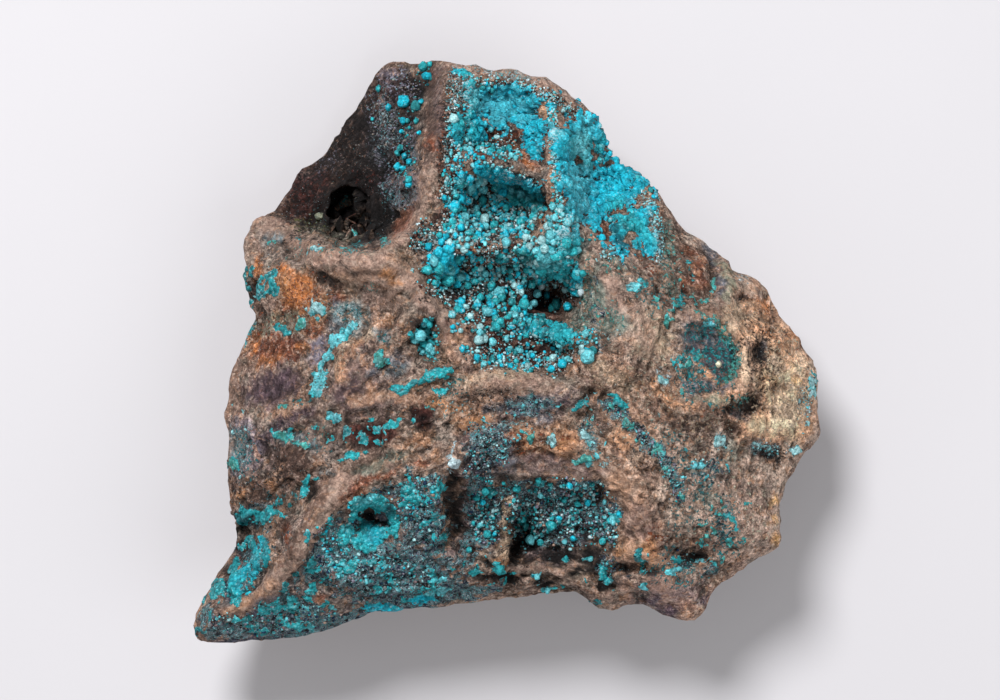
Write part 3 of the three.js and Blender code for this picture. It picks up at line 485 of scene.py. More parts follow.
# Soft stains over it, with painted shadow in pits, grooves and holes and painted shade on faces turned down:
# colour, strength, and the marks they cover.
STAINS = [
    # The dark hollow at the upper left and its wall: its browns and soot are partly the stone's own dark
    # oxides and partly painted shade, and its black is painted shadow in the deep hole and the pits.
    ("purple_brown", 0.8, [(-34, 27, 3.4, 3.4, 50), (-18.6, 44, 3.4, 3), (-21, 36, 3, 5)]),
    ("red_brown", 0.75, [
        (-33.6, 24.6, 3.6, 4.4), (-30.6, 28, 2), (-20, 29.6, 2.4, 1.4), (-19.4, 26.6, 1.4, 1),
    ]),
    ("soot", 0.5, [(-25.6, 36, 4, 5, 50), (-23, 30, 4)]),
    ("soot", 0.9, [(-22.6, 22.6, 5.4, 4.6), (-16, 35, 2, 6), (-22, 29, 4, 3.4), (-14.4, 43.4, 1.2, 2.4)]),
    # These two black rows are painted shadow in and round the deep hole and in the small pits.
    ("black", 0.75, [(-24.8, 24, 6.8, 6), (-19.4, 21.2, 2.2, 2.6)]),
    ("black", 0.97, [
        (-26.4, 23.6, 2.4, 3.4), (-24.6, 22, 2.4, 2.2), (-32, 27.6, 0.7), (-13.6, 43, 0.6, 1.4),
        (-23.6, 38, 1.4, 1),
    ]),
    ("blue_grey", 0.5, [
        (-21, 34.4, 1.6, 3.6, 10), (-17.6, 36, 2, 1.2), (-18, 25, 2.2, 1.8), (-19.6, 39, 2, 0.8),
        (-15.4, 31.4, 0.9, 2),
    ]),
    ("soot", 0.5, [(-21.4, 33, 3.4, 4.4, 10)]),
    ("lilac_grey", 0.55, [
        (-18.4, 46, 2.6, 0.9), (-17.6, 26.6, 1.8, 2.4), (-20.4, 41.4, 1.2, 0.8), (-14.6, 26, 0.9, 3),
    ]),
    ("brown", 0.8, [
        (0.9, [(-22.6, 45.6), (-20, 48), (-14, 47.6)]), (-22.2, 46, 0.9, 1.6), (-37, 25, 0.8, 1.6, 40),
    ]),
    ("green_tan", 0.5, [(-31.4, 19.6, 2.4, 1.2), (-27, 18.4, 3, 0.8), (-35, 20.6, 1.4, 1)]),
    ("brown", 1.0, [(1.8, HOLLOW_RIM)]),
    ("tan", 0.9, [(1.5, [(-12, 31), (-12.8, 27), (-14.8, 21.5), (-18.5, 16.6)]), (-10, 47.6, 2.4, 0.9)]),
    ("dark_brown", 0.62, [(2, HOLLOW_RIM)]),
    ("mauve", 0.3, [(0.7, [(-11.4, 46.4), (-10.6, 38), (-11, 32)])]),
    ("rust", 0.75, [(-16.8, 21.2, 1.1, 2.6, -30), (-12.4, 33.6, 0.6, 1.6), (-13, 45.4, 0.5, 1)]),
    # The shoulder and the left edge.
    ("brown", 0.35, [(2.4, SHOULDER)]),
    ("tan", 0.55, [(2.2, SHOULDER), (-43, 17.6, 1.4, 4)]),
    ("pink_tan", 0.6, [
        (1.6, [(-30, 14.8), (-24, 13.8), (-19.6, 13.4), (-15.6, 11.2), (-12, 7.4)]),
        (-20.5, 9.8, 3.6, 2, -20),
    ]),
    ("blue_grey", 0.8, [(-39, 18.4, 1.9, 1.3)]),
    ("cream_tan", 0.6, [(-34, 11.4, 1.4), (-26, 1.4, 0.8, 1.8, -20), (-22.6, 2.4, 1.8, 0.8, 40)]),
    ("orange", 0.95, [
        (-34, 9.4, 3, 3.8), (-41.2, 13.6, 0.9, 2.4), (-32.2, 11, 1.2, 1.4), (-37, 13.4, 1.6, 0.7),
    ]),
    ("ochre", 0.8, [
        (-36.4, 10.6, 1.2, 2), (-30, 8.6, 0.9, 0.7), (-30.6, 4, 1.2, 2.4, 20), (-18.6, 11.6, 2, 0.7, -30),
    ]),
    ("rust", 0.8, [
        (-37.4, 0.2, 5, 1.9, 8), (-31, 3.6, 1.6), (-27.4, 9, 1.6, 0.9), (-41, 2.4, 1.4, 1.2),
        (-35.6, 6.6, 1, 0.6),
    ]),
    ("orange", 0.8, [
        (-41, 1.4, 1, 2.2, -20), (-38.6, -1.6, 2.2, 0.8, 20), (-42.4, -1.4, 1.2, 0.9), (-33.6, 0.6, 1, 0.7),
    ]),
    ("red_brown", 0.75, [
        (-40.8, 11.4, 0.6, 1.6), (-34.6, 1.6, 2, 0.8, 20), (-29, 5.6, 1, 1.4), (-35.8, -1, 1.8, 0.6),
        (-26, 9.2, 0.8, 0.6),
    ]),
    ("green_tan", 0.85, [(-38, 4.4, 4, 1.5, 20), (-33.6, 5.4, 1.4), (-34.6, 3.8, 1.2, 0.9)]),
    ("soot", 0.85, [
        (-29.8, 11.6, 1.6, 1, -20), (-40.4, 14.4, 0.6, 1.4), (-41.6, 9.4, 0.6, 1.6), (-28.4, 10.6, 0.8, 0.6),
        (-36.8, 17.4, 0.6, 0.5),
    ]),
    ("plum", 0.95, [(-38.4, -6, 5.4, 3, 14)]),
    ("violet", 0.5, [(-37.6, -5.6, 3.4, 1.8, 14), (-41.6, -7.6, 1.4, 1.2)]),
    ("tan", 0.85, [(1, LEFT_NOTCH), (-42, -2.4, 2, 0.8, 30)]),
    ("brown", 0.45, [(1.4, LEFT_NOTCH)]),
    ("warm_tan", 0.8, [(-36, -9.8, 3, 0.7, 20)]),
    ("pale_blue", 0.85, [(-25.2, 5.6, 2.6, 2.4, 20)]),
    ("blue_grey", 0.5, [(-25.8, 6.4, 2.4, 1.8, 20)]),
    ("slate", 0.8, [
        (-27.4, 7.4, 0.9, 1.2, 20), (-17.8, -1.8, 2.4, 1.4, 30), (-21, -3.6, 1.6, 1, 30),
        (-27.6, 3.8, 1.2, 1.4),
    ]),
    ("blue_grey", 0.6, [(-20, 2.4, 1.4, 1.6, 30), (-18, -3.4, 2, 0.8, 20)]),
    ("frost", 0.35, [(-25.2, 5.2, 2.4, 2.4, 20)]),
    ("lilac_grey", 0.9, [(-31, -0.4, 1.3, 1.9, -10), (-30, 1, 1, 0.9)]),
    ("orange_tan", 0.75, [
        (-27, -2.6, 1.3, 2.6), (-24, 0.6, 1.6, 1.2, 40), (-19.6, 4.6, 1.8, 1.2), (-22, -6.6, 1.2, 1),
    ]),
    ("plum", 0.85, [(-26, -7.2, 1.9, 2), (-22.6, 0.8, 1.8, 0.9, 20), (-24.6, -4.6, 1)]),
    ("dark_brown", 0.6, [(-26, -9.6, 2.4, 0.7), (-33, -11.6, 2.4, 0.8, 20), (-14.6, 4.4, 1.4, 1)]),
    ("warm_tan", 0.7, [
        (0.8, [(-25, -8.2), (-21, -7.4), (-17, -7.6), (-14, -8.2)]), (-9, -1, 1.4, 1.8),
        (-7, 2, 1.2, 1.8, 40),
    ]),
    ("violet", 0.75, [(1, [(-40.4, -16), (-38, -13), (-35, -11.2), (-31, -10)])]),
    ("lilac_grey", 0.6, [(-43.6, -12.4, 1.8, 1.6), (-41.6, -16.4, 1.4, 3.4), (-44, -20, 1.4, 1.6)]),
    ("blue_grey", 0.7, [
        (-44.4, -14.4, 1.4, 2.4), (-35, -14.6, 2.6, 1, -10), (-31.6, -15.6, 1.6, 1, -30), (-44, -18, 1.6),
    ]),
    ("brown", 0.9, [(-35, -18.4, 3.6, 3.6, 10), (-42, -23.6, 4.4, 2.4)]),
    ("dark_brown", 0.7, [(-34.6, -17.6, 2.8, 2.4, 10), (-38.6, -24.6, 3, 1), (-30.4, -11, 1.4, 0.8)]),
    ("ochre", 0.7, [(-38.4, -21.6, 0.9), (-43.6, -24, 1.4, 0.7, 20), (-38.2, -23, 0.5)]),
    ("dark_brown", 0.95, [(-22.6, -13.4, 6, 2.4, 6), (-13.2, -10.8, 2.8, 2.6, -30), (-23.6, -15.4, 3, 1)]),
    ("red_brown", 0.9, [(-20.4, -13.6, 3.4, 1.6, 14), (-13.4, -10.6, 2.2, 1.8, -30), (-24.6, -13.4, 1.6, 1)]),
    # Painted shadow: black in the pits and the groove.
    ("black", 0.6, [(-12.8, -11.4, 1.6, 0.8, -20), (-22, -15, 2, 0.6), (-25.6, -11.4, 0.9, 0.7)]),
    ("orange_tan", 0.8, [
        (-14, -14.6, 3, 1.4, 20), (-11.4, -8, 1.4, 0.8), (-20, -18.4, 5, 0.6, 14), (-11, -17, 1, 1.4),
    ]),
    ("green_grey", 0.8, [(-18.4, -17.6, 3.4, 0.9, 12), (-22, -19.2, 2.6, 0.8, 12)]),
    ("brown", 0.35, [(-18, -18.6, 3.4, 1.8, 14)]),
    ("rust", 0.8, [(-22, -21, 4.4, 0.8, 14), (-24.6, -23.6, 2.4, 1.9, 10), (-13.6, -18.6, 1.4, 0.6, 20)]),
    # The middle.
    ("orange_tan", 0.8, [
        (-5, -11.8, 4, 1.6, 16), (3, -14.4, 2.4, 2.2), (9.6, -14.4, 2.2, 2.6), (19, -15, 1.4, 2.2, 30),
    ]),
    ("ochre", 0.6, [
        (-4.6, -11.4, 2, 0.8, 20), (3, -15.4, 1.4, 1), (9.4, -15.4, 1.4, 1.2), (-9, -9, 2.6, 0.8),
    ]),
    ("tan", 0.8, [(1.8, [(-8, -6.4), (-2, -5), (6, -5)]), (22.6, 3, 2, 4, 10)]),
    ("cream_tan", 0.5, [
        (0.7, [(-8, -5.8), (-2, -4), (4, -3.8)]), (18.6, -5, 2.6, 1.4, -20), (15, -2.6, 2, 1),
    ]),
    ("brown", 0.75, [
        (15.4, -6.4, 2.4, 0.9, -30), (22, -3.6, 3, 0.9, -30), (26, -7.4, 3, 0.8, -30), (18, 0, 3, 0.8),
        (25, -11, 2.6, 1, -30),
    ]),
    ("slate", 0.85, [
        (5, -8.6, 4.4, 1.5, 4), (-1.6, -9.2, 2.4, 0.8, 20), (6.6, -11, 2.4, 0.8), (-1, -13.2, 2, 1.2),
    ]),
    ("plum", 0.7, [(10, -8.4, 2.4, 1), (1.6, -10.4, 2.4, 1), (-6.4, -14.8, 1.6, 2), (6, -17.6, 4, 0.6)]),
    ("navy", 0.6, [(-1.6, -16, 2.4), (-4.4, -18.6, 2, 1.6), (2.4, -9.2, 1.6, 0.6), (-4, -20.6, 1.6, 1)]),
    # Painted shadow: black in pits and grooves.
    ("black", 0.7, [
        (-2.6, -17.4, 2, 1.6), (13.4, -6.4, 1, 1.6, 30), (-6.4, -20.4, 0.9, 1.6), (17, -7.6, 0.8, 0.5),
    ]),
    ("lilac_grey", 0.4, [(-2, -15.6, 3.4)]),
    ("grey_tan", 0.7, [(14, -12.6, 2, 3.6), (-9.8, -12.6, 1.4, 2)]),
    # Painted shade in the main pocket's recesses, under the cross rib, beside the deep holes and under the
    # low ledge.
    ("soot", 0.45, [
        (3.4, 24.4, 3, 2.6), (-6, 8.6, 3, 2.4), (4.4, 10.6, 3, 2.6), (4, 1.2, 3.6, 0.9, -10),
        (-7.6, 26.6, 1.6), (-9, 19.6, 2, 1),
    ]),
    # Painted shadow: black in two deep holes and under the low ledge.
    ("black", 0.95, [(7.2, 8.6, 1.3, 1.9), (5, 11, 1.4, 0.9, 20), (5, 2, 1.8, 0.7, -20)]),
    ("teal", 0.6, [(-4, 25, 4, 3), (2.6, 23, 3), (-6, 19, 3, 2), (2, 14, 4, 2), (-4, 10, 3, 2), (9, 16, 4)]),
    ("rust", 0.9, [
        (-2, 36, 1.6), (1.6, 35.2, 1, 0.7), (0.9, [(0, 34.4), (2.6, 32.4), (4.4, 29.6)]),
        (-3.4, 15, 1.6, 0.7, 10), (8.4, 22.6, 0.9, 2.4),
    ]),
    ("orange", 0.6, [
        (0.4, [(1.4, 33), (3.4, 31), (4.4, 29.6)]), (8.2, 26.4, 0.5, 2), (6.4, 21.4, 0.6, 0.9),
        (0.6, [(-6, 16.6), (-1, 16.2), (2, 16.4)]),
    ]),
    ("red_brown", 0.85, [(-3.4, 35.4, 1, 1.2), (0, 33.6, 1.2, 1), (-3.6, 31.6, 2, 0.8), (9, 9.6, 2, 1.4)]),
    ("grey_tan", 0.85, [(0.8, [(-3.6, 30.6), (0, 29.4), (3, 28.8), (6, 28.6)])]),
    ("orange_tan", 0.85, [
        (7.8, 28.6, 0.8, 2.4), (5.8, 39.4, 1.1, 1.5), (8.4, 9.6, 1.6, 1), (9, 40.4, 1.4, 0.6, -40),
    ]),
    ("tan", 0.85, [
        (1, [(-7.6, 46.8), (-2, 45.6), (4.6, 44.6), (9, 42.6), (13, 39.6), (15.4, 36)]), (21.4, 27, 1.4),
        (13.4, 14.4, 1.4, 1.6),
    ]),
    ("brown", 0.85, [
        (11.5, 31.4, 0.6, 0.8), (14.6, 32.4, 0.6, 0.9), (17.4, 31, 0.7), (13.8, 24.8, 0.6, 0.7),
        (22.6, 25.2, 1, 1.6), (20.6, 17.4, 0.8, 1.6),
    ]),
    ("rust", 0.9, [
        (16.6, 19.6, 0.8, 1.8, 10), (17.8, 23, 1, 0.9), (10.4, 37.4, 0.5, 0.9), (14.6, 32.6, 0.4, 0.5),
    ]),
    ("green_grey", 0.75, [
        (14, 11, 2, 5, 10), (12.6, 5, 2), (17.6, 4, 3, 1.6), (18, 14, 2), (28, 10, 1.6, 2.6),
        (26.6, 18, 1.4, 4),
    ]),
    ("pink_tan", 0.8, [(17.4, 11.6, 1.9, 2.4), (13.4, 14, 1.2), (20, 8, 2.6, 2)]),
    # The right side and the eye.
    ("brown", 0.75, [(30.4, 12.4, 3, 4), (24, 9.6, 1.4, 1.6), (22.6, 9.4, 1.2, 1), (26, 6.6, 1, 2.4)]),
    ("rust", 0.6, [(32, 12.6, 1.2, 2.4), (29.6, 10.4, 1.2), (30, 16, 1.6, 0.8)]),
    ("slate", 0.85, [(0.8, [(33.8, 17), (35.6, 13), (35.4, 9)]), (31.6, 3, 2.6, 2)]),
    ("green_tan", 0.8, [(0.8, [(36, 14.4), (37, 11), (36.6, 8.4)]), (33.6, -8, 3, 0.6)]),
    ("navy", 0.8, [(35, -1.4, 3, 3.4), (31.4, 1, 2.4, 1.6)]),
    ("deep_teal", 0.6, [(36.6, -1.4, 1.8, 3.4), (33, 1.6, 2.4, 0.8, -30)]),
    ("slate", 0.9, [(31.6, 1.2, 2.4, 1.6), (31.4, -6, 2.6, 1.2), (35, -6.4, 2, 0.6), (34, 2.4, 2, 0.8, -30)]),
    ("mauve", 0.7, [(31.6, 0.6, 0.8, 0.6), (35.6, -3.6, 1.4, 0.9)]),
    ("orange_tan", 0.85, [
        (0.55, [(31.6, -2.8), (33.4, -4.2), (35.4, -5.8)]), (0.8, [(24, -5.4), (27, -8.6), (31, -9.4)]),
    ]),
    ("orange", 0.8, [
        (42.4, 7.6, 1.6, 1.3, -20), (43, 3.2, 1.8, 0.9), (45.6, 0.6, 0.9, 1.6), (48, 2.2, 0.9, 1.2),
        (43.6, -5, 1.5, 1.2), (46.4, -6.6, 1.2, 0.7, -30),
    ]),
    ("orange_tan", 0.75, [
        (41.6, 5, 2.6, 2, -20), (44.6, -7.6, 2.8, 2, -30), (48, -2, 1.6), (42, -12.4, 4, 1.2),
        (49, -12.6, 1.8, 2),
    ]),
    ("peach", 0.75, [(46, -6, 4.4, 9), (40, 5, 3), (43, -12, 5, 3)]),
    ("cream", 0.35, [
        (46.8, -8, 3, 4.4), (44.6, -2, 1.2, 2.4), (49, -2.4, 1, 2.4), (40, 5.4, 1.6, 1), (45, -12.4, 4, 1.2),
    ]),
    ("pale_tan", 0.55, [(30, -26, 5, 4)]),
    ("pink_tan", 0.6, [(38, -27, 6, 8), (32, -22, 4, 5), (25, -33, 2, 3)]),
    ("deep_teal", 0.9, [(-43, -36.4, 2.6, 6, -24), (-41, -27.6, 4, 1.2, 6)]),
    ("yellow_ochre", 0.75, [
        (44.6, -25, 0.8, 1), (44.2, -28, 0.7, 1), (45, -31, 0.8, 0.9), (48, -5, 0.9, 0.8),
    ]),
    ("cream_tan", 0.75, [
        (38, 6, 1.6, 1.8), (39.4, -2.4, 1, 2.6), (46, -10, 2.6, 1.6), (48.6, -8, 1, 2.6),
        (36.6, 3.6, 1.2, 1.4), (45, -2.4, 1.6, 1.4),
    ]),
    ("pale_tan", 0.85, [
        (39.4, 11.6, 1.8, 1.2, 20), (41, 9, 1), (47, -15.6, 1.2), (35.4, -14.6, 1.4), (31, 18, 2, 0.6, -30),
    ]),
    ("dark_brown", 0.9, [
        (42.2, -0.6, 1.2, 2.2), (40.4, -8.8, 2.6, 1.6, 20), (37, -10.4, 1.6, 1), (37.4, -13, 0.9, 0.8),
        (39.4, 8.8, 1.1, 0.9),
    ]),
    ("slate", 0.6, [(42.6, 0, 1, 1.4), (38.4, -10.6, 1.6, 0.7), (42.6, -16.6, 2.4, 1.2, -20)]),
    # Painted shadow: black in the pits of the right side.
    ("black", 0.75, [
        (42, -1.4, 0.7, 0.9), (40.6, -9, 1.4, 0.8, 20), (40, 5.6, 0.9, 0.5), (45.4, -0.8, 0.6),
        (43.8, 3.4, 0.7, 0.5), (47, 2.6, 0.5, 0.7),
    ]),
    ("dark_brown", 0.75, [
        (43, -17.4, 3, 1.1, -20), (32.4, -12.2, 1.6, 0.7), (28, -12, 2, 0.7), (31.6, -16.4, 1, 0.9),
        (36, -21, 1.4, 0.9), (29, -20, 1.2, 0.8),
    ]),
    ("green_grey", 0.6, [(37, -17, 2, 2.4), (31, -19, 2.4, 1.2), (33, -24, 2)]),
    # The lower edge, the vug and the foot.
    ("mauve", 0.7, [
        (0.8, [(-6.6, -19.6), (-6, -23), (-6.2, -28)]), (10, -22.4, 3, 0.8), (-8.6, -33, 2, 3),
        (7, -33.6, 4, 1.4),
    ]),
    ("slate", 0.6, [(6, -26, 8, 3.6), (-3, -27, 2, 5)]),
    ("navy", 0.5, [(8, -26.4, 5, 2.6), (12, -30, 3, 2), (-3.4, -27.6, 1.8, 3), (17.4, -27.4, 1.4, 2)]),
    # Painted shadow: black in the vug's pits and in the groove on its left.
    ("black", 0.97, [
        (2, -30, 1.2, 3), (0.9, [(-8.4, -20.4), (-9.2, -23), (-8.8, -26), (-7.8, -28.6)]),
        (14.8, -23.6, 0.8, 1.7), (8.4, -33.8, 3, 1), (4.4, -31, 2.4, 2), (1, -34.6, 1.2, 0.9),
    ]),
    ("cream_tan", 0.95, [
        (0.75, [(0.6, -24), (-0.3, -27.6), (0.2, -31), (-1, -34.2)]),
        (0.5, [(-4, -25), (-2.4, -26.4), (-0.6, -27)]),
    ]),
    ("warm_tan", 0.9, [
        (-10.8, -30.4, 1.5, 4.8, -6), (20, -33, 1.6, 1.7), (25.6, -37.6, 3), (20.6, -39.4, 1.6, 2),
        (18.4, -22.6, 2.2, 1, -40),
    ]),
    ("ochre", 0.7, [
        (-11.4, -32.4, 0.9, 2.4), (18.8, -33.4, 1), (-0.8, -34.6, 1.2, 0.6), (24, -32.6, 1.4, 2),
        (30.6, -42, 1.6, 1.4),
    ]),
    ("tan", 0.9, [
        (0.9, [(-9, -36.4), (-4, -38.6), (2, -39), (7, -40)]),
        (0.42, [(-2, -36.4), (1, -36.2), (4, -35.6), (6.6, -36.4), (9.6, -36.4), (11.6, -35)]),
        (0.4, [(3.4, -36), (4.6, -37.6), (4.4, -39)]), (0.45, [(9, -36.4), (9.8, -38.4)]),
    ]),
    # These black and sooty rows are painted shadow under the vug's lower lip and in the grooves and pits
    # along it.
    ("black", 0.97, [
        (0.7, [(-3.6, -37.4), (-1, -37.6), (1, -37.8)]), (0.6, [(5.4, -38.6), (8, -38.6)]),
        (11.6, -36.4, 0.9, 0.7), (19.4, -36.6, 0.6, 1.4, 20), (-2.6, -35, 0.9, 0.6),
    ]),
    ("black", 0.95, [
        (3, -37, 1, 0.7), (6.4, -37.6, 1, 0.5), (8.6, -37.8, 0.5, 0.4), (0.4, -37, 0.8, 0.4),
        (13.6, -33.6, 1, 1.4),
    ]),
    ("soot", 0.92, [
        (23.4, -36, 2.6, 0.8, -10), (15, -35.6, 2, 2.4), (31.6, -33.8, 2.4, 1), (33.6, -36.4, 1.6, 0.9),
        (17, -38, 1.4, 1.6), (-6, -37, 2, 0.8),
    ]),
    ("black", 0.8, [(24, -36.2, 1.6, 0.6, -10), (16, -38.6, 0.8, 1), (29, -37.6, 1.4, 0.5)]),
    ("mauve", 0.6, [(24, -40, 5, 3), (30, -40, 4, 3)]),
    # Painted shade where the lower edge turns down: violet on the bevel at the lower right and navy along the
    # lower left.
    ("violet", 0.9, [(26.6, -43.4, 3, 1.2, -10), (33, -41.6, 1.6, 1), (24, -41, 1.4, 0.9)]),
    ("navy", 0.9, [(-37, -47.6, 6, 1), (-45, -48, 4, 0.8), (-27, -45.4, 3, 0.8, 20), (-19, -42.8, 3, 0.6)]),
    ("tan", 0.95, [(1.8, [(-27, -20.4), (-29, -24.6), (-31.4, -29.4), (-34, -34), (-37, -38)])]),
    ("pale_tan", 0.3, [(1, [(-28.4, -22.4), (-30.4, -27), (-33, -31.6)]), (-34.6, -29.6, 1.4, 2.4, 20)]),
    ("brown", 0.85, [
        (0.7, [(-29, -22), (-32.6, -29), (-36.4, -35)]), (0.9, [(-38.6, -39), (-42, -41.2), (-46, -42.6)]),
        (-49.4, -44.4, 3, 2.4, 20),
    ]),
    ("warm_tan", 0.8, [
        (0.7, [(-38, -38), (-41, -40.6), (-45, -42.2)]), (0.6, [(-37, -26), (-37.6, -30), (-38.6, -34)]),
    ]),
    ("dark_brown", 0.8, [
        (-36, -29.6, 1, 3.4, 14), (-31.4, -22.4, 0.7, 1.6, -30), (-46, -36, 1, 2, -30),
        (-41.4, -30.6, 0.8, 1.6),
    ]),
    ("mauve", 0.4, [(22, -28, 3)]),
    ("rust", 0.8, [
        (-35.6, -30, 0.6, 1.6), (0.5, [(-43.6, -33), (-44.6, -37)]), (-17.6, -41.2, 1.4, 0.6),
        (-30.4, -41, 0.8), (-21, -36.4, 1.4, 0.6, 20),
    ]),
    ("mauve", 0.6, [(-47.4, -44.6, 1, 0.8), (-26, -30, 2), (-14, -34.6, 3, 0.9)]),
    # Navy: mostly the stone's own colour, with painted shade on the blue hole's upper wall.
    ("navy", 0.75, [
        (-43.6, -27.6, 2, 1), (-45, -31.6, 1.2, 2.4), (-40, -44, 3, 1.2), (-36, -41, 2, 1),
        (-22, -27.4, 3.4, 1.4), (-45.6, -39.6, 1.4),
    ]),
    # Painted shadow: black in the pits of the lower left, with the dark crescent on the blue hole's shaded
    # upper wall.
    ("black", 0.9, [
        (-24.3, -28.4, 0.9, 0.6, 30), (-22, -26.9, 1.6, 0.8), (-19.8, -28.6, 0.8, 0.7),
        (-43.8, -32.4, 0.7, 0.9), (-44, -29.6, 0.6, 0.9), (-32, -24.2, 0.5, 1.2, -20),
    ]),
    ("rust", 0.85, [(-11, -30, 0.8, 1), (-12, -32.6, 0.7, 0.9)]),
    ("frost", 0.5, [(-28.6, -20, 1.4, 0.5), (-40, -25.8, 2, 0.4)]),
]

# Crumbs of a second colour, thick or thin on the ground: colour, share of the ground, and marks.
CRUMBS = [
    # Brown, rust and dark specks in the stone itself.
    ("dark_brown", 0.38, [
        (-40, -22, 7, 4), (24, 10, 3, 5), (33, -25, 8, 7), (22, -13, 4, 6, 30), (-29, -15, 3, 5),
        (-4, -8, 7, 2), (22, -4, 5),
    ]),
    ("rust", 0.4, [
        (-38, 2, 5, 4), (24, 14, 2, 3), (33, -12, 4, 2), (26, -31, 3), (-33, 8, 4), (4, -15, 6, 2),
    ]),
    ("black", 0.36, [
        (44, 1, 3.4, 4), (41, 6, 2.6, 1.6), (38, -9, 4, 3, 20), (44, -16, 4, 2, -20), (-36, 26, 4, 5, 40),
    ]),
    ("brown", 0.42, [(-27, 34, 4, 9, 52), (-22, 30, 3, 6, 20)]),
    ("red_brown", 0.44, [(-34, 25, 3.4, 5), (-22, 28, 4, 2)]),
    ("rust", 0.44, [(-9.6, 30, 1.6, 8), (14, -15, 1.4, 4), (47, -4, 2.6, 7)]),
    ("lilac_grey", 0.4, [
        (-20, 36, 2.6, 8, 14), (-18, 44, 2.6, 3), (-30, 31, 2, 1.6, 40), (-15.4, 35, 1, 8), (-17, 26, 3, 2.6),
    ]),
    ("olive", 0.4, [(-31.2, 21.8, 1.2, 1), (-29.4, 20.4, 1.6, 1.2), (-34, 20.4, 1.2, 0.8)]),
    ("cream", 0.3, [(46, -6, 4, 7), (33, -18, 6), (38, -27, 6), (22, -11, 3, 5, 30), (24, 3, 3, 5)]),
    ("cream_tan", 0.4, [
        (45, -8, 5), (39, 5, 3, 2), (-27, -2, 1.6, 3), (27, -8, 4, 2, -30), (18, -5, 4, 2), (30, -13, 4, 2),
    ]),
    # Teal dust and thin films.
    ("teal", 0.4, [
        (-25.6, 6.4, 2.4, 2), (-19.6, 1.4, 1.6, 1.4, 30), (-34, -8.6, 2.4, 1, 10), (-36, -14.4, 2, 1.2),
        (-31, -15.6, 2, 1, -20),
    ]),
    ("green_teal", 0.38, [(18, 15, 2.4, 3, 30), (13.4, 9, 1.6, 6), (16, 5, 3), (27, 15, 1.6, 6), (12, 3, 2)]),
    ("teal", 0.38, [
        (34, -8.4, 4, 1), (28, -16, 1.6, 5, 32), (31, -23, 3, 6, 26), (33, -19, 3, 1.6), (29, -27, 2, 3),
        (24, 8, 2.4),
    ]),
    ("green_teal", 0.34, [
        (-29, 16, 8, 0.9, -4), (-21, 10.4, 1.4, 0.8), (-30.4, -13, 2, 1, 20), (-12, -1.4, 2, 1.2),
        (-18, -17.6, 2.6, 0.8, 12), (-8.4, -10, 2, 0.8),
    ]),
    ("teal", 0.42, [
        (36, -30, 3, 5), (28, -36, 4, 3), (-43, -17, 1.8, 4), (-36, -24, 2.4, 0.9), (13.4, -14, 1.2, 3),
        (-9, -6, 2, 1.6),
    ]),
    ("pale_blue", 0.4, [
        (2, -12, 2.4, 1), (-8, -9.4, 2, 0.8), (13.4, -14, 1.4, 3), (14.6, -17.6, 2.6, 0.8, -30),
        (17, 2.6, 3, 0.6, 2), (-3, -12.6, 2.6, 1),
    ]),
    ("frost", 0.42, [
        (50.6, -7, 0.8, 3), (47.4, -16.4, 0.9), (42.6, -16, 2, 0.7, -20), (35.4, -14.6, 1.2, 1),
        (39.6, 11.8, 1.4, 0.7, 20), (25.6, -4.4, 1.2, 1, -40),
    ]),
    ("turquoise", 0.5, [
        (-27.6, 17.4, 0.9, 0.5), (-24, 17.4, 1.6, 0.9), (-19.6, 17.6, 1, 0.9), (-26, 15.8, 1, 0.4),
        (-33.4, 18.4, 0.6, 0.4),
    ]),
    ("turquoise", 0.6, [
        (0.6, [(-41.6, 6.6), (-42.4, 3.6), (-43.2, 1)]), (28.4, 7.8, 0.9, 1.2), (30.6, 13, 0.5, 2),
        (21.6, 10.6, 1.2, 1), (30, -2.6, 2.2, 2.6),
    ]),
    ("teal", 0.5, [(35.6, -1, 3, 4), (30.6, -4, 2.4, 3), (32, 3, 3, 2)]),
    ("green_teal", 0.6, [
        (0.6, [(34.6, 4), (36.4, 2.4), (38, 0), (38, -3), (36.6, -5.4)]), (38.4, -7.8, 0.9, 0.6),
        (0.5, [(31.6, 6.6), (33, 5.4), (34.6, 4.4)]),
    ]),
]

# Where the stone carries the fine swirling speckle of blue, white and dark: share and marks.
SPECKLED = [
    (1.0, [
        (-22, -35, 12.6, 5.6, -4), (-28, -32, 5, 4.6), (-13.4, -28, 3.6, 7, 12), (-12, -37.6, 4, 3.4),
        (-36.6, -43.2, 7, 3.2, -4), (-18, -40, 8, 2.6),
    ]),
    (0.9, [
        (-2.6, -15.6, 3.8, 4.4), (5, -26, 10, 4.6, -4), (-3.8, -26, 2.6, 6.6), (16.6, -28, 2.6, 4),
        (12, -22.4, 4, 1.4),
    ]),
    (0.9, [(-31, -46, 13, 2.4, 5), (-45, -46.4, 5, 1.6), (-18, -42.6, 8, 1.2, 6), (-6, -39.8, 6, 1.6, 4)]),
    (0.75, [
        (4, -9, 5, 1.8, 4), (0.9, [(-6, -20), (-5.6, -28), (-6.6, -34)]), (-8, -39.6, 4, 1.6),
        (-16.6, -22.6, 6, 1.6, 14), (-49, -44, 2.4, 2, 20),
    ]),
    (0.7, [
        (1.3, [(16.4, -8.4), (20.6, -12), (24, -16), (27, -19.4), (28.6, -24)]), (13.4, -14.4, 1.2, 3),
        (9, -31, 4, 2), (28.6, -35.4, 2.4, 1.6),
    ]),
    (0.6, [
        (-42, -36, 3, 5.6, -24), (-41, -28, 4, 2), (17, -36, 2.4), (-6, -35, 3, 2.4), (34, -36, 2, 1),
        (43, -16.6, 2.6, 0.9, -20),
    ]),
    (0.55, [(1, -12.6, 4, 0.9), (33.6, -20, 3), (36, -29, 2, 5), (-41, -25.4, 3.4, 0.9), (15, 7, 2.4, 7)]),
]

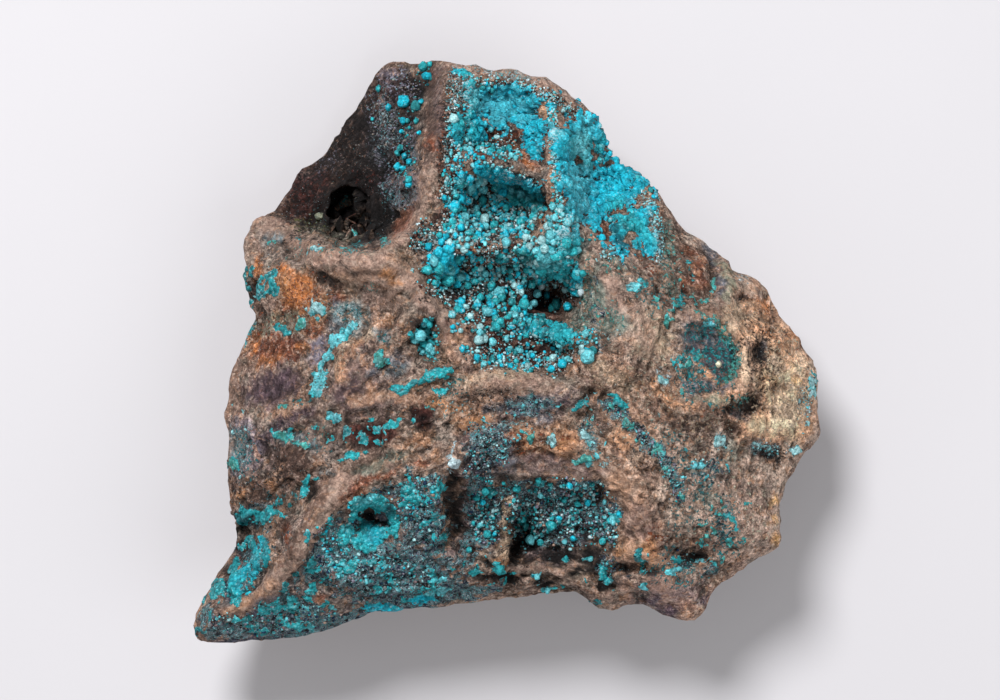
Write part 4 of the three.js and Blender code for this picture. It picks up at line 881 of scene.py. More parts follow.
# Where the stone is dusted with whitish grains, and where with sooty ones: share and marks.
FROSTED = [
    (0.5, [
        (8, 34, 1, 5), (-8, 41, 1.6, 5), (0, 45.6, 8, 0.9, -10), (24.6, 20, 1.2, 6, 10), (-9.4, 30, 0.9, 9),
        (-13, 17.6, 2.6),
    ]),
    (0.42, [
        (-2, -15, 4), (0, -1.6, 6, 1.6), (6, 12, 6, 4), (-3, 19, 6), (-20, 38, 2, 6, 10), (-17.4, 26, 3),
        (-8, 9.4, 5, 1.4, -20),
    ]),
    (0.34, [(43, -16, 4, 1.4, -20), (49, -8, 2, 5), (-25, 5.6, 2.6, 2.4), (-44, -16, 2, 5), (-30, 8, 3, 2)]),
]
SOOTY = [
    (0.55, [
        (-27, 34, 14, 10, 52), (-27, 24, 11, 6, 8), (-2, 22, 9, 7), (-2, 10, 11, 6), (-9, 36, 2, 9),
        (-13, 17.6, 2.6),
    ]),
    (0.45, [
        (5, -29, 13, 8), (-2, -16, 4, 5), (42, -1, 3.6, 7), (39, -9, 4.6, 2.6, 20), (44, -17, 3.6, 1.6, -20),
    ]),
    (0.3, [
        (44, 4, 4), (33, -14, 8, 4), (34, -28, 4, 5), (24, 10, 4, 5), (-38, -20, 8, 5), (-22, -34, 10, 7),
    ]),
    (0.24, [(-20, -12, 8, 4), (10, -9, 7, 3), (20, -36, 6, 4), (-38, 6, 5, 8), (26, -8, 4, 6)]),
]

# Where fibres or streaks run up and down the stone: strength and marks.
STREAKED = [
    (0.9, [(-43, -16.6, 3, 6), (-27, -2.6, 2, 4), (13.4, 9, 2.6, 6), (-26, 34, 4, 9, 52)]),
    (0.6, [(30, 13, 3.4, 5), (-34.6, 24, 4, 5), (35.6, 12, 2, 4.4), (25.6, 19, 1.6, 6), (22, 4, 3, 5)]),
    (0.3, [(-38, -6, 5, 3, 8), (-21, 8, 5, 4)]),
]

# Broad patches of the ground, on top and below: colour, strength, size in mm, seed and two noise levels,
# where they begin and where they're full.
BROAD_PATCHES = [
    ("warm_tan", 0.7, 9, 1, 0.0, 0.8), ("grey_tan", 0.8, 11, 2, 0.05, 0.8),
    ("brown", 0.7, 6, 3, 0.3, 1.0), ("green_tan", 0.25, 7, 5, 0.3, 1.0),
]
UNDER_PATCHES = [
    ("ochre", 0.45, 10, 16, 0.45, 1.0), ("green_grey", 0.6, 8, 17, 0.4, 1.0),
    ("dark_brown", 0.5, 5, 18, 0.5, 1.0),
]
BAND_TONE, PALER_TONE = 0.14, 0.3
# How far the painted shade in hollows may darken the stone, and how far the painted light on ridges may
# lighten it.
DARKEST_PAINTED_SHADE, PALEST_PAINTED_LIGHT = 0.42, 1.28


def lay(target, colour, amount):
    """Lays a colour over the target's, as thick as the amount says."""
    target += amount[:, None] * (linear(colour) - target)


def lay_patches(target, table, points, amount=1.0):
    for colour, strength, size, seed, low, high in table:
        lay(target, colour, strength * amount * smooth(waves(points, size, seed, 3), low, high))


def lay_marks(target, table, face, upper, ragged, soft):
    for seed, (colour, strength, marks) in enumerate(table):
        lay(target, colour, upper * strength * face.cover(marks, ragged, soft, seed))


def ground_colour(face, upper, worn, hollow, dip):
    """The stone's colour at each point, with painted shade in its hollows and painted light on its ridges."""
    points = face.points
    ground = np.tile(linear("tan"), (len(points), 1))
    lay_patches(ground, BROAD_PATCHES, points)
    lay_marks(ground, GROUNDS, face, upper, 0.35, 0.4)
    patchy = waves(points, 3.2, 4, 4)
    lay(ground, "brown", 0.6 * (1 - 0.4 * worn) * smooth(patchy, 0.3, 0.75))
    not_dark = smooth(ground.mean(axis=1), 0.08, 0.16)
    lay(ground, "pale_tan", 0.55 * (1 - 0.5 * worn) * smooth(-patchy, 0.35, 0.8) * not_dark)
    lay_marks(ground, STAINS, face, upper, 0.3, 0.35)
    flows = flow_bands(face.bent, 1.6 * waves(points, 3.4, 33, 2), 0.3)
    band = sum(ripple * fade for _, ripple, fade in flows)
    x, y = face.places.T
    paler = smooth(x, 12, 24) * (1 - smooth(y + 0.35 * (x - 24), 3, 9))  # the lower right of the face
    ground *= (1 + upper * (BAND_TONE * band + PALER_TONE * paler))[:, None]
    lay_patches(ground, UNDER_PATCHES, points, 1 - upper)
    # Painted shade in the hollows and painted light on the ridges, from how far each point lies below or
    # above its surroundings.
    return ground * np.clip(1 - 1.9 * hollow - 0.24 * dip, DARKEST_PAINTED_SHADE, PALEST_PAINTED_LIGHT)[:, None]


def crumb_layers(face, upper, worn, hollow):
    """The crumbs' colour at each point, and how thick crumbs, whitish grains and sooty specks lie there."""
    points = face.points
    crumb = np.tile(linear("dark_brown"), (len(points), 1))
    thick = 0.14 + 0.12 * waves(points, 5, 8, 2) - 0.03 * worn + 0.5 * hollow
    side_teal = (1 - upper) * smooth(waves(points, 8, 12, 3), 0.35, 0.9)
    lay(crumb, "teal", side_teal)
    thick = np.maximum(thick, 0.5 * side_teal)
    for seed, (colour, share, marks) in enumerate(CRUMBS):
        amount = upper * face.cover(marks, 0.35, 0.45, seed)
        lay(crumb, colour, smooth(amount, 0.02, 0.3))
        thick = np.where(amount > 0.02, thick + (share - thick) * smooth(amount, 0.0, 0.8), thick)
    frost = 0.12 + 0.1 * waves(points, 5, 14, 2) - 0.1 * worn
    frost = np.maximum(frost, painted(face, FROSTED, upper, 0.45, 0.5, 2))
    soot = 0.1 + 0.1 * waves(points, 5, 15, 2) - 0.05 * worn + 0.6 * hollow
    soot = np.maximum(soot, painted(face, SOOTY, upper, 0.45, 0.5, 4))
    return crumb, thick, frost, soot


# ---------------------------------------------------------------- meshes
def read_vectors(items, name):
    flat = np.zeros(len(items) * 3, np.float32)
    items.foreach_get(name, flat)
    return flat.reshape(-1, 3).astype(float)


def vertex_array(mesh):
    """The mesh's points, in mm."""
    return read_vectors(mesh.vertices, "co") / MM


def normal_array(mesh):
    return read_vectors(mesh.vertex_normals, "vector")


def write_points(mesh, points):
    mesh.vertices.foreach_set("co", (points * MM).astype(np.float32).ravel())


def set_vertices(mesh, points):
    """Moves the mesh's points to places in mm."""
    write_points(mesh, points)
    mesh.update()


def mesh_from(bm, name):
    """The edited mesh as a new one, and the end of the editing."""
    mesh = bpy.data.meshes.new(name)
    bm.to_mesh(mesh)
    bm.free()
    return mesh


def editable(mesh):
    bm = bmesh.new()
    bm.from_mesh(mesh)
    return bm


def hollowness(mesh, points, normals, rounds):
    """How far each point lies below its smoothed surroundings, in mm: more than 0 in a hollow."""
    ends = np.zeros(len(mesh.edges) * 2, np.int32)
    mesh.edges.foreach_get("vertices", ends)
    one, two = ends.reshape(-1, 2).T
    around = np.bincount(ends, minlength=len(points))
    mean = points.copy()
    for _ in range(rounds):
        for axis in range(3):
            values = mean[:, axis]
            total = np.bincount(one, values[two], len(points)) + np.bincount(two, values[one], len(points))
            mean[:, axis] = 0.5 * values + 0.5 * total / around
    return ((mean - points) * normals).sum(1)


def give_colour(mesh, name, colours, share):
    """Stores a colour and, as its alpha, how thick it lies."""
    attribute = mesh.color_attributes.new(name, "FLOAT_COLOR", "POINT")
    data = np.column_stack([np.clip(colours, 0, 1), np.clip(share, 0, 1)]).astype(np.float32)
    attribute.data.foreach_set("color", data.ravel())


def give_number(mesh, name, values):
    attribute = mesh.attributes.new(name, "FLOAT", "POINT")
    attribute.data.foreach_set("value", np.clip(values, 0, 1).astype(np.float32))


def add_object(name, mesh, material):
    mesh.polygons.foreach_set("use_smooth", np.full(len(mesh.polygons), True))
    obj = bpy.data.objects.new(name, mesh)
    bpy.context.scene.collection.objects.link(obj)
    mesh.materials.clear()
    mesh.materials.append(material)
    return obj


def add_piece(name, mesh, material, slot, *nodes):
    piece = add_object(name, mesh, material)
    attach(piece, "root")
    if nodes:
        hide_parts(*nodes)
    return piece


# ---------------------------------------------------------------- materials
# Blotches in the limonite: colour, size in mm and strength.
MOTTLES = [
    ("green_grey", 2.1, 0.28), ("orange_tan", 1.6, 0.55), ("plum", 2.6, 0.3), ("dark_brown", 0.9, 0.6),
    ("pale_tan", 0.7, 0.6),
]
# The speckled parts' own colours: level and colour.
SPECKLED_TONES = [
    (0.36, "soot"), (0.42, "navy"), (0.46, "slate"), (0.5, "ash"), (0.54, "teal"), (0.59, "mauve"),
    (0.64, "blue_grey"),
]
LENGTHWAYS = (1.0, 0.2, 0.5)  # how a streak's noise is scaled along each axis
STONE_GRAIN, CRUST_GRAIN = 0.55, 0.48


def flat_colour(name):
    return (*linear(name), 1.0)


class Nodes:
    """Adds and joins a material's nodes. Every size is in mm."""

    def __init__(self, name):
        self.material = bpy.data.materials.new(name)
        self.material.use_nodes = True
        self.tree = self.material.node_tree
        self.shader = self.tree.nodes["Principled BSDF"]
        self.place = self.tree.nodes.new("ShaderNodeTexCoord").outputs["Object"]

    def add(self, kind, inputs=None, **settings):
        node = self.tree.nodes.new(kind)
        for key, value in settings.items():
            setattr(node, key, value)
        for key, value in (inputs or {}).items():
            self.feed(node.inputs[key], value)
        return node

    def feed(self, socket, value):
        if isinstance(value, bpy.types.NodeSocket):
            self.tree.links.new(value, socket)
        elif socket.type == "RGBA" and isinstance(value, float):
            socket.default_value = (value, value, value, 1.0)
        else:
            socket.default_value = value

    def finish(self, colour, roughness, normal, gloss=None):
        """Joins the shader's inputs, and gives the material."""
        self.feed(self.shader.inputs["Base Color"], colour)
        self.feed(self.shader.inputs["Roughness"], roughness)
        self.feed(self.shader.inputs["Normal"], normal)
        if gloss is not None:
            self.feed(self.shader.inputs["Specular IOR Level"], gloss)
        return self.material

    def noise(self, size, detail=2.0, rough=0.5, twist=0.0, place=None):
        """Random waves, `size` mm across."""
        inputs = {"Vector": place or self.place, "Scale": 1 / (size * MM), "Detail": detail}
        inputs.update({"Roughness": rough, "Distortion": twist})
        return self.add("ShaderNodeTexNoise", inputs).outputs["Fac"]

    def grains(self, size):
        """A random number for each grain, `size` mm across, and the distance from the grain's middle."""
        shaken = self.add("ShaderNodeVectorMath", operation="MULTIPLY_ADD")
        wander = self.add("ShaderNodeTexNoise", {"Vector": self.place, "Scale": 1.3 / (size * MM)})
        for socket, value in zip(shaken.inputs, (wander.outputs["Color"], (size * MM,) * 3, self.place)):
            self.feed(socket, value)
        inputs = {"Vector": shaken.outputs[0], "Scale": 1 / (size * MM)}
        node = self.add("ShaderNodeTexVoronoi", inputs)
        number = self.maths("FRACT", self.maths("MULTIPLY", self.bright(node.outputs["Color"]), 7.0))
        return number, node.outputs["Distance"]

    def bright(self, colour):
        return self.add("ShaderNodeRGBToBW", {"Color": colour}).outputs[0]

    def maths(self, operation, *values, clamp=False):
        node = self.add("ShaderNodeMath", operation=operation, use_clamp=clamp)
        for socket, value in zip(node.inputs, values):
            self.feed(socket, value)
        return node.outputs[0]

    def between(self, value, low, high, out_low=0.0, out_high=1.0):
        """The value's place between two levels, softened, as a number between two others."""
        inputs = {"Value": value, "From Min": low, "From Max": high, "To Min": out_low, "To Max": out_high}
        return self.add("ShaderNodeMapRange", inputs, interpolation_type="SMOOTHSTEP").outputs[0]

    def mix(self, share, one, two, blend="MIX"):
        node = self.add("ShaderNodeMix", data_type="RGBA", blend_type=blend, clamp_factor=True)
        colours = [socket for socket in node.inputs if socket.type == "RGBA"]
        self.feed(node.inputs[0], share)
        self.feed(colours[0], one)
        self.feed(colours[1], two)
        return next(socket for socket in node.outputs if socket.type == "RGBA")

    def toned(self, share, colour, value, low, high, dark, pale):
        """A colour made darker and paler by a value that runs from low to high."""
        return self.mix(share, colour, self.between(value, low, high, dark, pale), "MULTIPLY")

    def two_tones(self, value, one, two):
        return self.mix(self.between(value, 0.4, 0.6), flat_colour(one), flat_colour(two))

    def ramp(self, value, stops):
        """A colour for each level of a value; a stop is its level and its colour."""
        node = self.add("ShaderNodeValToRGB", {"Fac": value})
        elements = node.color_ramp.elements
        elements[0].position, elements[0].color = stops[0][0], flat_colour(stops[0][1])
        elements[1].position, elements[1].color = stops[-1][0], flat_colour(stops[-1][1])
        for level, colour in stops[1:-1]:
            elements.new(level).color = flat_colour(colour)
        return node.outputs["Color"]

    def attribute(self, name):
        return self.add("ShaderNodeAttribute", attribute_name=name, attribute_type="GEOMETRY").outputs

    def scattered(self, share, noise, edge=7.0):
        """1 where a noise falls within a share of the ground, with crumbly edges."""
        level = self.maths("MULTIPLY_ADD", noise, -2.2, 0.57)
        total = self.maths("MULTIPLY_ADD", share, 1.15, level)
        return self.maths("MULTIPLY", total, edge, clamp=True)

    def bump(self, height, depth, strength=1.0, under=None):
        inputs = {"Height": height, "Distance": depth * MM, "Strength": strength}
        if under is not None:
            inputs["Normal"] = under
        return self.add("ShaderNodeBump", inputs).outputs[0]


def mottled_ground(m, ground, rugged, streaked, fibre, broad, fine, finest, grain):
    """The bare stone: its painted ground with blotches, streaks and grain."""
    colour = m.toned(rugged, ground["Color"], broad, 0.34, 0.66, 0.74, 1.24)
    earthy = m.maths("MULTIPLY", m.between(m.bright(ground["Color"]), 0.015, 0.16), rugged)
    for name, size, share in MOTTLES:
        blotch = m.between(m.noise(size, 4, 0.65, 0.9), 0.53, 0.63, 0.0, share)
        colour = m.mix(m.maths("MULTIPLY", blotch, earthy), colour, flat_colour(name))
    colour = m.toned(streaked, colour, fibre, 0.36, 0.64, 0.66, 1.36)
    colour = m.toned(rugged, colour, fine, 0.36, 0.64, 0.56, 1.42)
    colour = m.toned(rugged, colour, grain, 0.0, 1.0, 0.76, 1.26)
    return m.toned(rugged, colour, finest, 0.28, 0.72, 0.8, 1.2)


def swirling_speckle(m, grain):
    """Dark blue and slate speckle with pale veins and rings: its colour, and where the veins are."""
    fabric = m.ramp(m.noise(1.3, 4, 0.62, 0.9), SPECKLED_TONES)
    rings = m.maths("PINGPONG", m.maths("MULTIPLY", m.noise(2.3, 3, 0.55, 1.6), 9.0), 0.5)
    broken = m.between(m.noise(1.5, 3, 0.6), 0.42, 0.52)
    veins = m.maths("MULTIPLY", m.between(rings, 0.3, 0.42), broken)
    vein_tone = m.two_tones(m.noise(0.6, 2, 0.5), "light_blue", "frost")
    fabric = m.mix(m.maths("MULTIPLY", veins, 0.85), fabric, vein_tone)
    pits = m.between(m.noise(0.9, 3, 0.6, 0.5), 0.38, 0.44, 0.8, 0.0)
    fabric = m.mix(pits, fabric, flat_colour("soot"))
    return m.toned(1.0, fabric, grain, 0.0, 1.0, 0.66, 1.34), veins


def stone_material():
    """Earthy, mottled limonite, with crumbs, whitish grains and soot as thick as its attributes say."""
    m = Nodes("dull_limonite")
    ground, crumb = m.attribute("ground"), m.attribute("crumb")
    names = ("soot", "worn", "speckled", "streaked")
    soot, worn, speckled, streaked = (m.attribute(name)["Fac"] for name in names)
    rugged = m.maths("MULTIPLY_ADD", worn, -0.45, 1.0)
    broad = m.noise(2.2, 4, 0.62, 0.8)
    fine = m.noise(0.7, 4, 0.72, 0.5)
    finest = m.noise(0.33, 2, 0.6)
    grain, from_middle = m.grains(STONE_GRAIN)
    lengthways = m.add("ShaderNodeMapping", {"Vector": m.place, "Scale": LENGTHWAYS}).outputs[0]
    fibre = m.noise(0.6, 3, 0.66, 0.25, lengthways)

    colour = mottled_ground(m, ground, rugged, streaked, fibre, broad, fine, finest, grain)
    speckle, veins = swirling_speckle(m, grain)
    speckle_mask = m.scattered(speckled, m.noise(0.9, 4, 0.66, 0.6), 5.0)
    colour = m.mix(speckle_mask, colour, speckle)

    crumb_mask = m.scattered(crumb["Alpha"], m.noise(0.6, 4, 0.66, 0.5))
    crumb_tone = m.toned(1.0, crumb["Color"], m.noise(0.55, 3, 0.6), 0.3, 0.7, 0.32, 1.35)
    flecks = m.between(m.noise(0.36, 2, 0.6), 0.58, 0.66, 0.0, 0.5)
    crumb_tone = m.mix(m.maths("MULTIPLY", flecks, rugged), crumb_tone, flat_colour("frost"))
    colour = m.mix(crumb_mask, colour, crumb_tone)

    soot_mask = m.scattered(soot, m.noise(0.55, 4, 0.68, 0.4), 9.0)
    colour = m.mix(m.maths("MULTIPLY", soot_mask, 0.88), colour, flat_colour("soot"))
    frost_mask = m.scattered(ground["Alpha"], m.noise(0.36, 3, 0.66))
    frost_tone = m.two_tones(m.noise(0.8, 2, 0.5), "light_blue", "frost")
    colour = m.mix(m.maths("MULTIPLY", frost_mask, 0.75), colour, frost_tone)

    pebbly = m.maths("MULTIPLY_ADD", from_middle, -0.3, fine)
    loose = m.maths("ADD", m.maths("SUBTRACT", crumb_mask, soot_mask), m.maths("ADD", frost_mask, veins))
    rough = m.bump(m.maths("MULTIPLY", broad, rugged), 0.9, 0.8)
    rough = m.bump(m.maths("MULTIPLY", pebbly, rugged), 0.45, 0.9, rough)
    rough = m.bump(m.maths("MULTIPLY", fibre, streaked), 0.3, 0.8, rough)
    rough = m.bump(m.maths("MULTIPLY_ADD", finest, 1.4, loose), 0.16, 0.9, rough)
    return m.finish(colour, m.between(fine, 0.3, 0.7, 0.95, 0.7), rough, 0.25)


def crust_material():
    """Velvety blue-green aurichalcite, dusted with whitish grains."""
    m = Nodes("velvet_aurichalcite")
    tint, gaps = m.attribute("tint"), m.attribute("gaps")["Fac"]
    fine = m.noise(0.5, 3, 0.66, 0.3)
    finest = m.noise(0.26, 2, 0.6)
    grain, from_middle = m.grains(CRUST_GRAIN)
    colour = m.toned(1.0, tint["Color"], fine, 0.3, 0.7, 0.74, 1.36)
    colour = m.toned(1.0, colour, grain, 0.0, 1.0, 0.8, 1.24)
    # Painted shade in the creases round each grain, and painted highlights on the raised middles of some
    # grains.
    painted_crease_shade = m.mix(1.0, colour, flat_colour("teal"), "MULTIPLY")
    colour = m.mix(m.between(from_middle, 0.5, 0.85, 0.0, 0.4), colour, painted_crease_shade)
    painted_highlights = m.maths("MULTIPLY", m.between(grain, 0.72, 0.86), m.between(from_middle, 0.5, 0.2, 0.0, 0.5))
    colour = m.mix(painted_highlights, colour, flat_colour("pale_blue"))
    frost = m.scattered(tint["Alpha"], m.noise(0.36, 3, 0.66))
    colour = m.mix(m.maths("MULTIPLY", frost, 0.66), colour, flat_colour("frost"))
    earth = m.two_tones(finest, "red_brown", "brown")
    colour = m.mix(m.scattered(gaps, m.noise(0.6, 4, 0.66, 0.4)), colour, earth)
    nap = m.bump(m.maths("MULTIPLY_ADD", from_middle, -0.5, fine), 0.4, 0.9)
    nap = m.bump(finest, 0.14, 0.9, nap)
    return m.finish(colour, m.between(fine, 0.3, 0.7, 0.85, 0.6), nap, 0.2)


def floor_material():
    m = Nodes("pale_floor")
    shade = m.maths("MULTIPLY_ADD", m.noise(60, 2, 0.5), 0.04, 0.95)
    colour = m.mix(1.0, flat_colour("white"), shade, "MULTIPLY")
    return m.finish(colour, 0.9, m.bump(m.noise(1.5, 2, 0.5), 0.02, 0.3))


# ---------------------------------------------------------------- the stone
HOLE = (-26, 23.4)  # the middle of the dark hollow's hole
ROUNDING_LEVELS = 2
MERGE_REACH = 1e-6


def rounded_matrix():
    """The CAD matrix's mesh, merged and rounded, and how tall the finished stone is in mm."""
    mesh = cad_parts["limonite_matrix"].data.copy()
    bm = editable(mesh)
    bmesh.ops.remove_doubles(bm, verts=bm.verts, dist=MERGE_REACH)
    bm.to_mesh(mesh)
    bm.free()
    tall = vertex_array(mesh)[:, 2].max() + 1
    rough_stone = bpy.data.objects.new("rough_stone", mesh)
    bpy.context.scene.collection.objects.link(rough_stone)
    rounding = rough_stone.modifiers.new("rounding", "SUBSURF")
    rounding.levels = rounding.render_levels = ROUNDING_LEVELS
    shaped = rough_stone.evaluated_get(bpy.context.evaluated_depsgraph_get())
    stone = bpy.data.meshes.new_from_object(shaped)
    bpy.data.objects.remove(rough_stone)
    return stone, tall


def snap_and_sway(points):
    """Moves the points sideways: out to the outline near the edge, and by small waves further in."""
    places = points[:, :2] + FACE_MIDDLE
    steps = np.arctan2(places[:, 1], places[:, 0]) % (2 * math.pi) / (2 * math.pi) * DIRECTIONS
    ring = np.arange(DIRECTIONS + 1)
    here, change = reach_change(places)
    edge = np.hypot(*places.T) / np.interp(steps, ring, np.append(here, here[0]))
    change = np.interp(steps, ring, np.append(change, change[0]))
    places *= (1 + smooth(edge, 0.8, 0.99) * (change - 1))[:, None]
    rim = 1 - smooth(np.hypot(*(places - HOLE).T), 4, 8)
    inside = 1 - smooth(edge, 0.72, 0.92)
    places += ((0.5 + 0.9 * rim) * inside)[:, None] * sway(points, 3.4, (51, 52), 3)
    points[:, :2] = places - FACE_MIDDLE


def worn_parts(face, upper):
    return upper * painted(face, WORN, 1.0, 0.25, 0.4, 1)


def fine_stone():
    """The matrix, rounded from the CAD solid and worked over with its small forms."""
    stone, tall = rounded_matrix()
    points = vertex_array(stone)
    snap_and_sway(points)
    set_vertices(stone, points)

    normals = normal_array(stone)
    face = Face(points)
    upper = smooth(normals[:, 2], -0.25, 0.25) * smooth(points[:, 2], 2, 5)
    worn = worn_parts(face, upper)
    off_floor = smooth(points[:, 2], 0.3, 3)
    height = upper * relief(face, worn) * smooth(normals[:, 2], 0, 0.5)
    under = off_floor * (1 - smooth(normals[:, 2], 0.1, 0.6))
    height += off_floor * (1 - 0.7 * worn) * 0.16 * waves(points, 4.2, 20, 2)
    height += under * (craggy(points, UNDER_CRAGS) + 0.14 * waves(points, 1.3, 23, 2))
    points += normals * height[:, None]
    points[:, 2] = np.maximum(points[:, 2], 0) * tall / points[:, 2].max()
    set_vertices(stone, points)
    return stone


def dress_stone(stone):
    """Gives the stone the attributes that its material reads."""
    points = vertex_array(stone)
    normals = normal_array(stone)
    face = Face(points)
    upper = smooth(normals[:, 2], -0.3, 0.1) * smooth(points[:, 2], 0.5, 2.5)
    worn = worn_parts(face, upper)
    hollow = np.clip(hollowness(stone, points, normals, 10), -0.15, 0.3)
    dip = np.clip(hollowness(stone, points, normals, 80), -1, 1.2)
    ground = ground_colour(face, upper, worn, hollow, dip)
    crumb, thick, frost, soot = crumb_layers(face, upper, worn, hollow)
    speckled = (1 - smooth(worn, 0.4, 0.8)) * painted(face, SPECKLED, upper, 0.5, 0.5, 3)
    # The ground colour carries the painted shade in the hollows and the painted light on the ridges.
    give_colour(stone, "ground", ground, frost)
    give_colour(stone, "crumb", crumb, thick)
    give_number(stone, "soot", soot)
    give_number(stone, "worn", worn)
    give_number(stone, "speckled", speckled)
    give_number(stone, "streaked", painted(face, STREAKED, upper, 0.3, 0.5, 5))


# ---------------------------------------------------------------- crusts
FILM_ROOT = 0.45  # mm that a film reaches down into the stone
STEEPEST = 0.05  # the least upward slope that a crust grows on
BALL_SHAPES = 12
BALL_TURN = 6.28
ROUND_BALL = 0.33  # balls of a larger radius, in mm, have more faces
ROOM = 1.5  # mm across a cell of taken places
TRIES = 8  # places tried for each ball wanted
SPREAD = 1.25  # how far past a mark's edge its balls may lie
SMALLER = 2.2  # how much likelier a small ball is than a large one


class Seat:
    """Finds where things sit on the stone's surface."""

    def __init__(self, mesh):
        bm = editable(mesh)
        self.tree = BVHTree.FromBMesh(bm)
        bm.free()

    def below(self, x, y):
        """The surface's point and normal straight under a place on the face."""
        spot = Vector(((x - FACE_MIDDLE[0]) * MM, (y - FACE_MIDDLE[1]) * MM, 2 * CREST * MM))
        for nudge in (0, 0.013, 0.031):
            start = spot + Vector((nudge, nudge / 2, 0)) * MM
            point, normal, _, _ = self.tree.ray_cast(start, Vector((0, 0, -1)))
            if point is not None:
                break
        return point, normal


def sheet_under(stone, marks, ragged, seed):
    """The stone's own surface under the marks, cut finer, without pinched or loose points."""
    bm = editable(stone)
    near = Face(vertex_array(stone)).cover(marks, ragged, 0.5, seed) * (normal_array(stone)[:, 2] > STEEPEST)
    far = [part for part in bm.faces if max(near[vert.index] for vert in part.verts) < 0.1]
    bmesh.ops.delete(bm, geom=far, context="FACES")
    bmesh.ops.subdivide_edges(bm, edges=bm.edges, cuts=1, use_grid_fill=True)
    while pinched := [vert for vert in bm.verts if sum(edge.is_boundary for edge in vert.link_edges) > 2]:
        touching = {part for vert in pinched for part in vert.link_faces}
        bmesh.ops.delete(bm, geom=list(touching), context="FACES")
    loose = [vert for vert in bm.verts if not vert.link_faces]
    bmesh.ops.delete(bm, geom=loose, context="VERTS")
    return mesh_from(bm, "film")


def closed_film(sheet, top, normals):
    """A closed mesh from the sheet's raised top to its root, and which point of the sheet each point is."""
    bm = editable(sheet)
    raised = bmesh.ops.extrude_face_region(bm, geom=bm.faces[:], use_keep_orig=True)
    upper = {part for part in raised["geom"] if isinstance(part, bmesh.types.BMVert)}
    at = {vert.co.copy().freeze(): index for index, vert in enumerate(sheet.vertices)}
    source = [at[vert.co.copy().freeze()] for vert in bm.verts]
    for vert, index in zip(bm.verts, source):
        if vert in upper:
            vert.co = Vector(top[index] * MM)
        else:
            vert.co -= Vector(normals[index] * FILM_ROOT * MM)
    bmesh.ops.recalc_face_normals(bm, faces=bm.faces)
    return mesh_from(bm, "film"), source


def film_mesh(
    stone, marks, base, colours=(), bare=(), thickness=0.45, knob=1.0, seed=0, ragged=0.35,
    gappy=0.06, dust=0.1, dusted=(),
):
    """A closed film of crowded knobs that follows the stone under its marks and thins out at their edges.

    Colours lie over its base colour. Bare marks cut it away, and gappy is the share of the rest that lets the
    stone through. Dust is the share of it that is whitish, and it's most so in the dusted marks.
    """
    sheet = sheet_under(stone, marks, ragged, seed)
    points, normals = vertex_array(sheet), normal_array(sheet)
    face = Face(points)
    amount = face.cover(marks, ragged, 0.3, seed)
    if bare:
        amount = np.minimum(amount, 1 - face.cover(bare, 0.35, 0.25, seed + 1))
    lumps = 0.62 * knobs(points, knob, seed) + 0.4 * knobs(points, knob * 0.5, seed + 5)
    lumps *= 1 + 0.25 * waves(points, 2.2, seed + 9, 2)
    rise = amount * thickness * (0.3 + 1.25 * lumps) - 0.3 * (1 - smooth(amount, 0.05, 0.5))

    tint = np.tile(linear(base), (len(points), 1))
    for order, (colour, strength, where) in enumerate(colours):
        lay(tint, colour, strength * face.cover(where, 0.4, 0.45, seed + order))
    lay(tint, "slate", 0.4 * smooth(waves(points, 1.7, seed + 60, 2), 0.2, 0.9))
    # Painted shade in the creases between the knobs, and painted light on their tops.
    tint *= (0.5 + 0.85 * np.clip(lumps, 0, 1.1))[:, None]
    frost = dust + 0.25 * (1 - smooth(amount, 0.4, 0.95)) + 0.1 * waves(points, 2.5, seed + 40, 2)
    if dusted:
        frost = np.maximum(frost, 0.5 * face.cover(dusted, 0.5, 0.5, seed + 2))
    thin = 0.75 * (1 - smooth(amount, 0.15, 0.75))
    gaps = np.maximum(gappy + 0.1 * waves(points, 2, seed + 41, 2), thin)
    mesh, source = closed_film(sheet, points + normals * rise[:, None], normals)
    return mesh, tint[source], frost[source], gaps[source]


def lumpy_balls(divisions, seed, squash=0.14, lumps=0.1):
    """A dozen lumpy balls of radius 1, and the faces that they share."""
    bm = bmesh.new()
    bmesh.ops.create_icosphere(bm, subdivisions=divisions, radius=1.0)
    points = np.array([vert.co[:] for vert in bm.verts])
    faces = np.array([[vert.index for vert in part.verts] for part in bm.faces])
    bm.free()
    pick = np.random.default_rng(seed)
    shapes = []
    for _ in range(BALL_SHAPES):
        turn = Matrix.Rotation(pick.uniform(0, BALL_TURN), 3, Vector(pick.normal(size=3)).normalized())
        lumpy = points @ np.array(turn) * pick.uniform(1 - squash, 1 + squash, 3)
        shapes.append(lumpy * (1 + lumps * pick.normal(size=(len(points), 1))))
    return np.array(shapes), faces


CRUMBS_OF_CRUST = lumpy_balls(1, 3, 0.45, 0.22)
SMALL_BALLS, ROUND_BALLS = lumpy_balls(1, 4), lumpy_balls(2, 5)


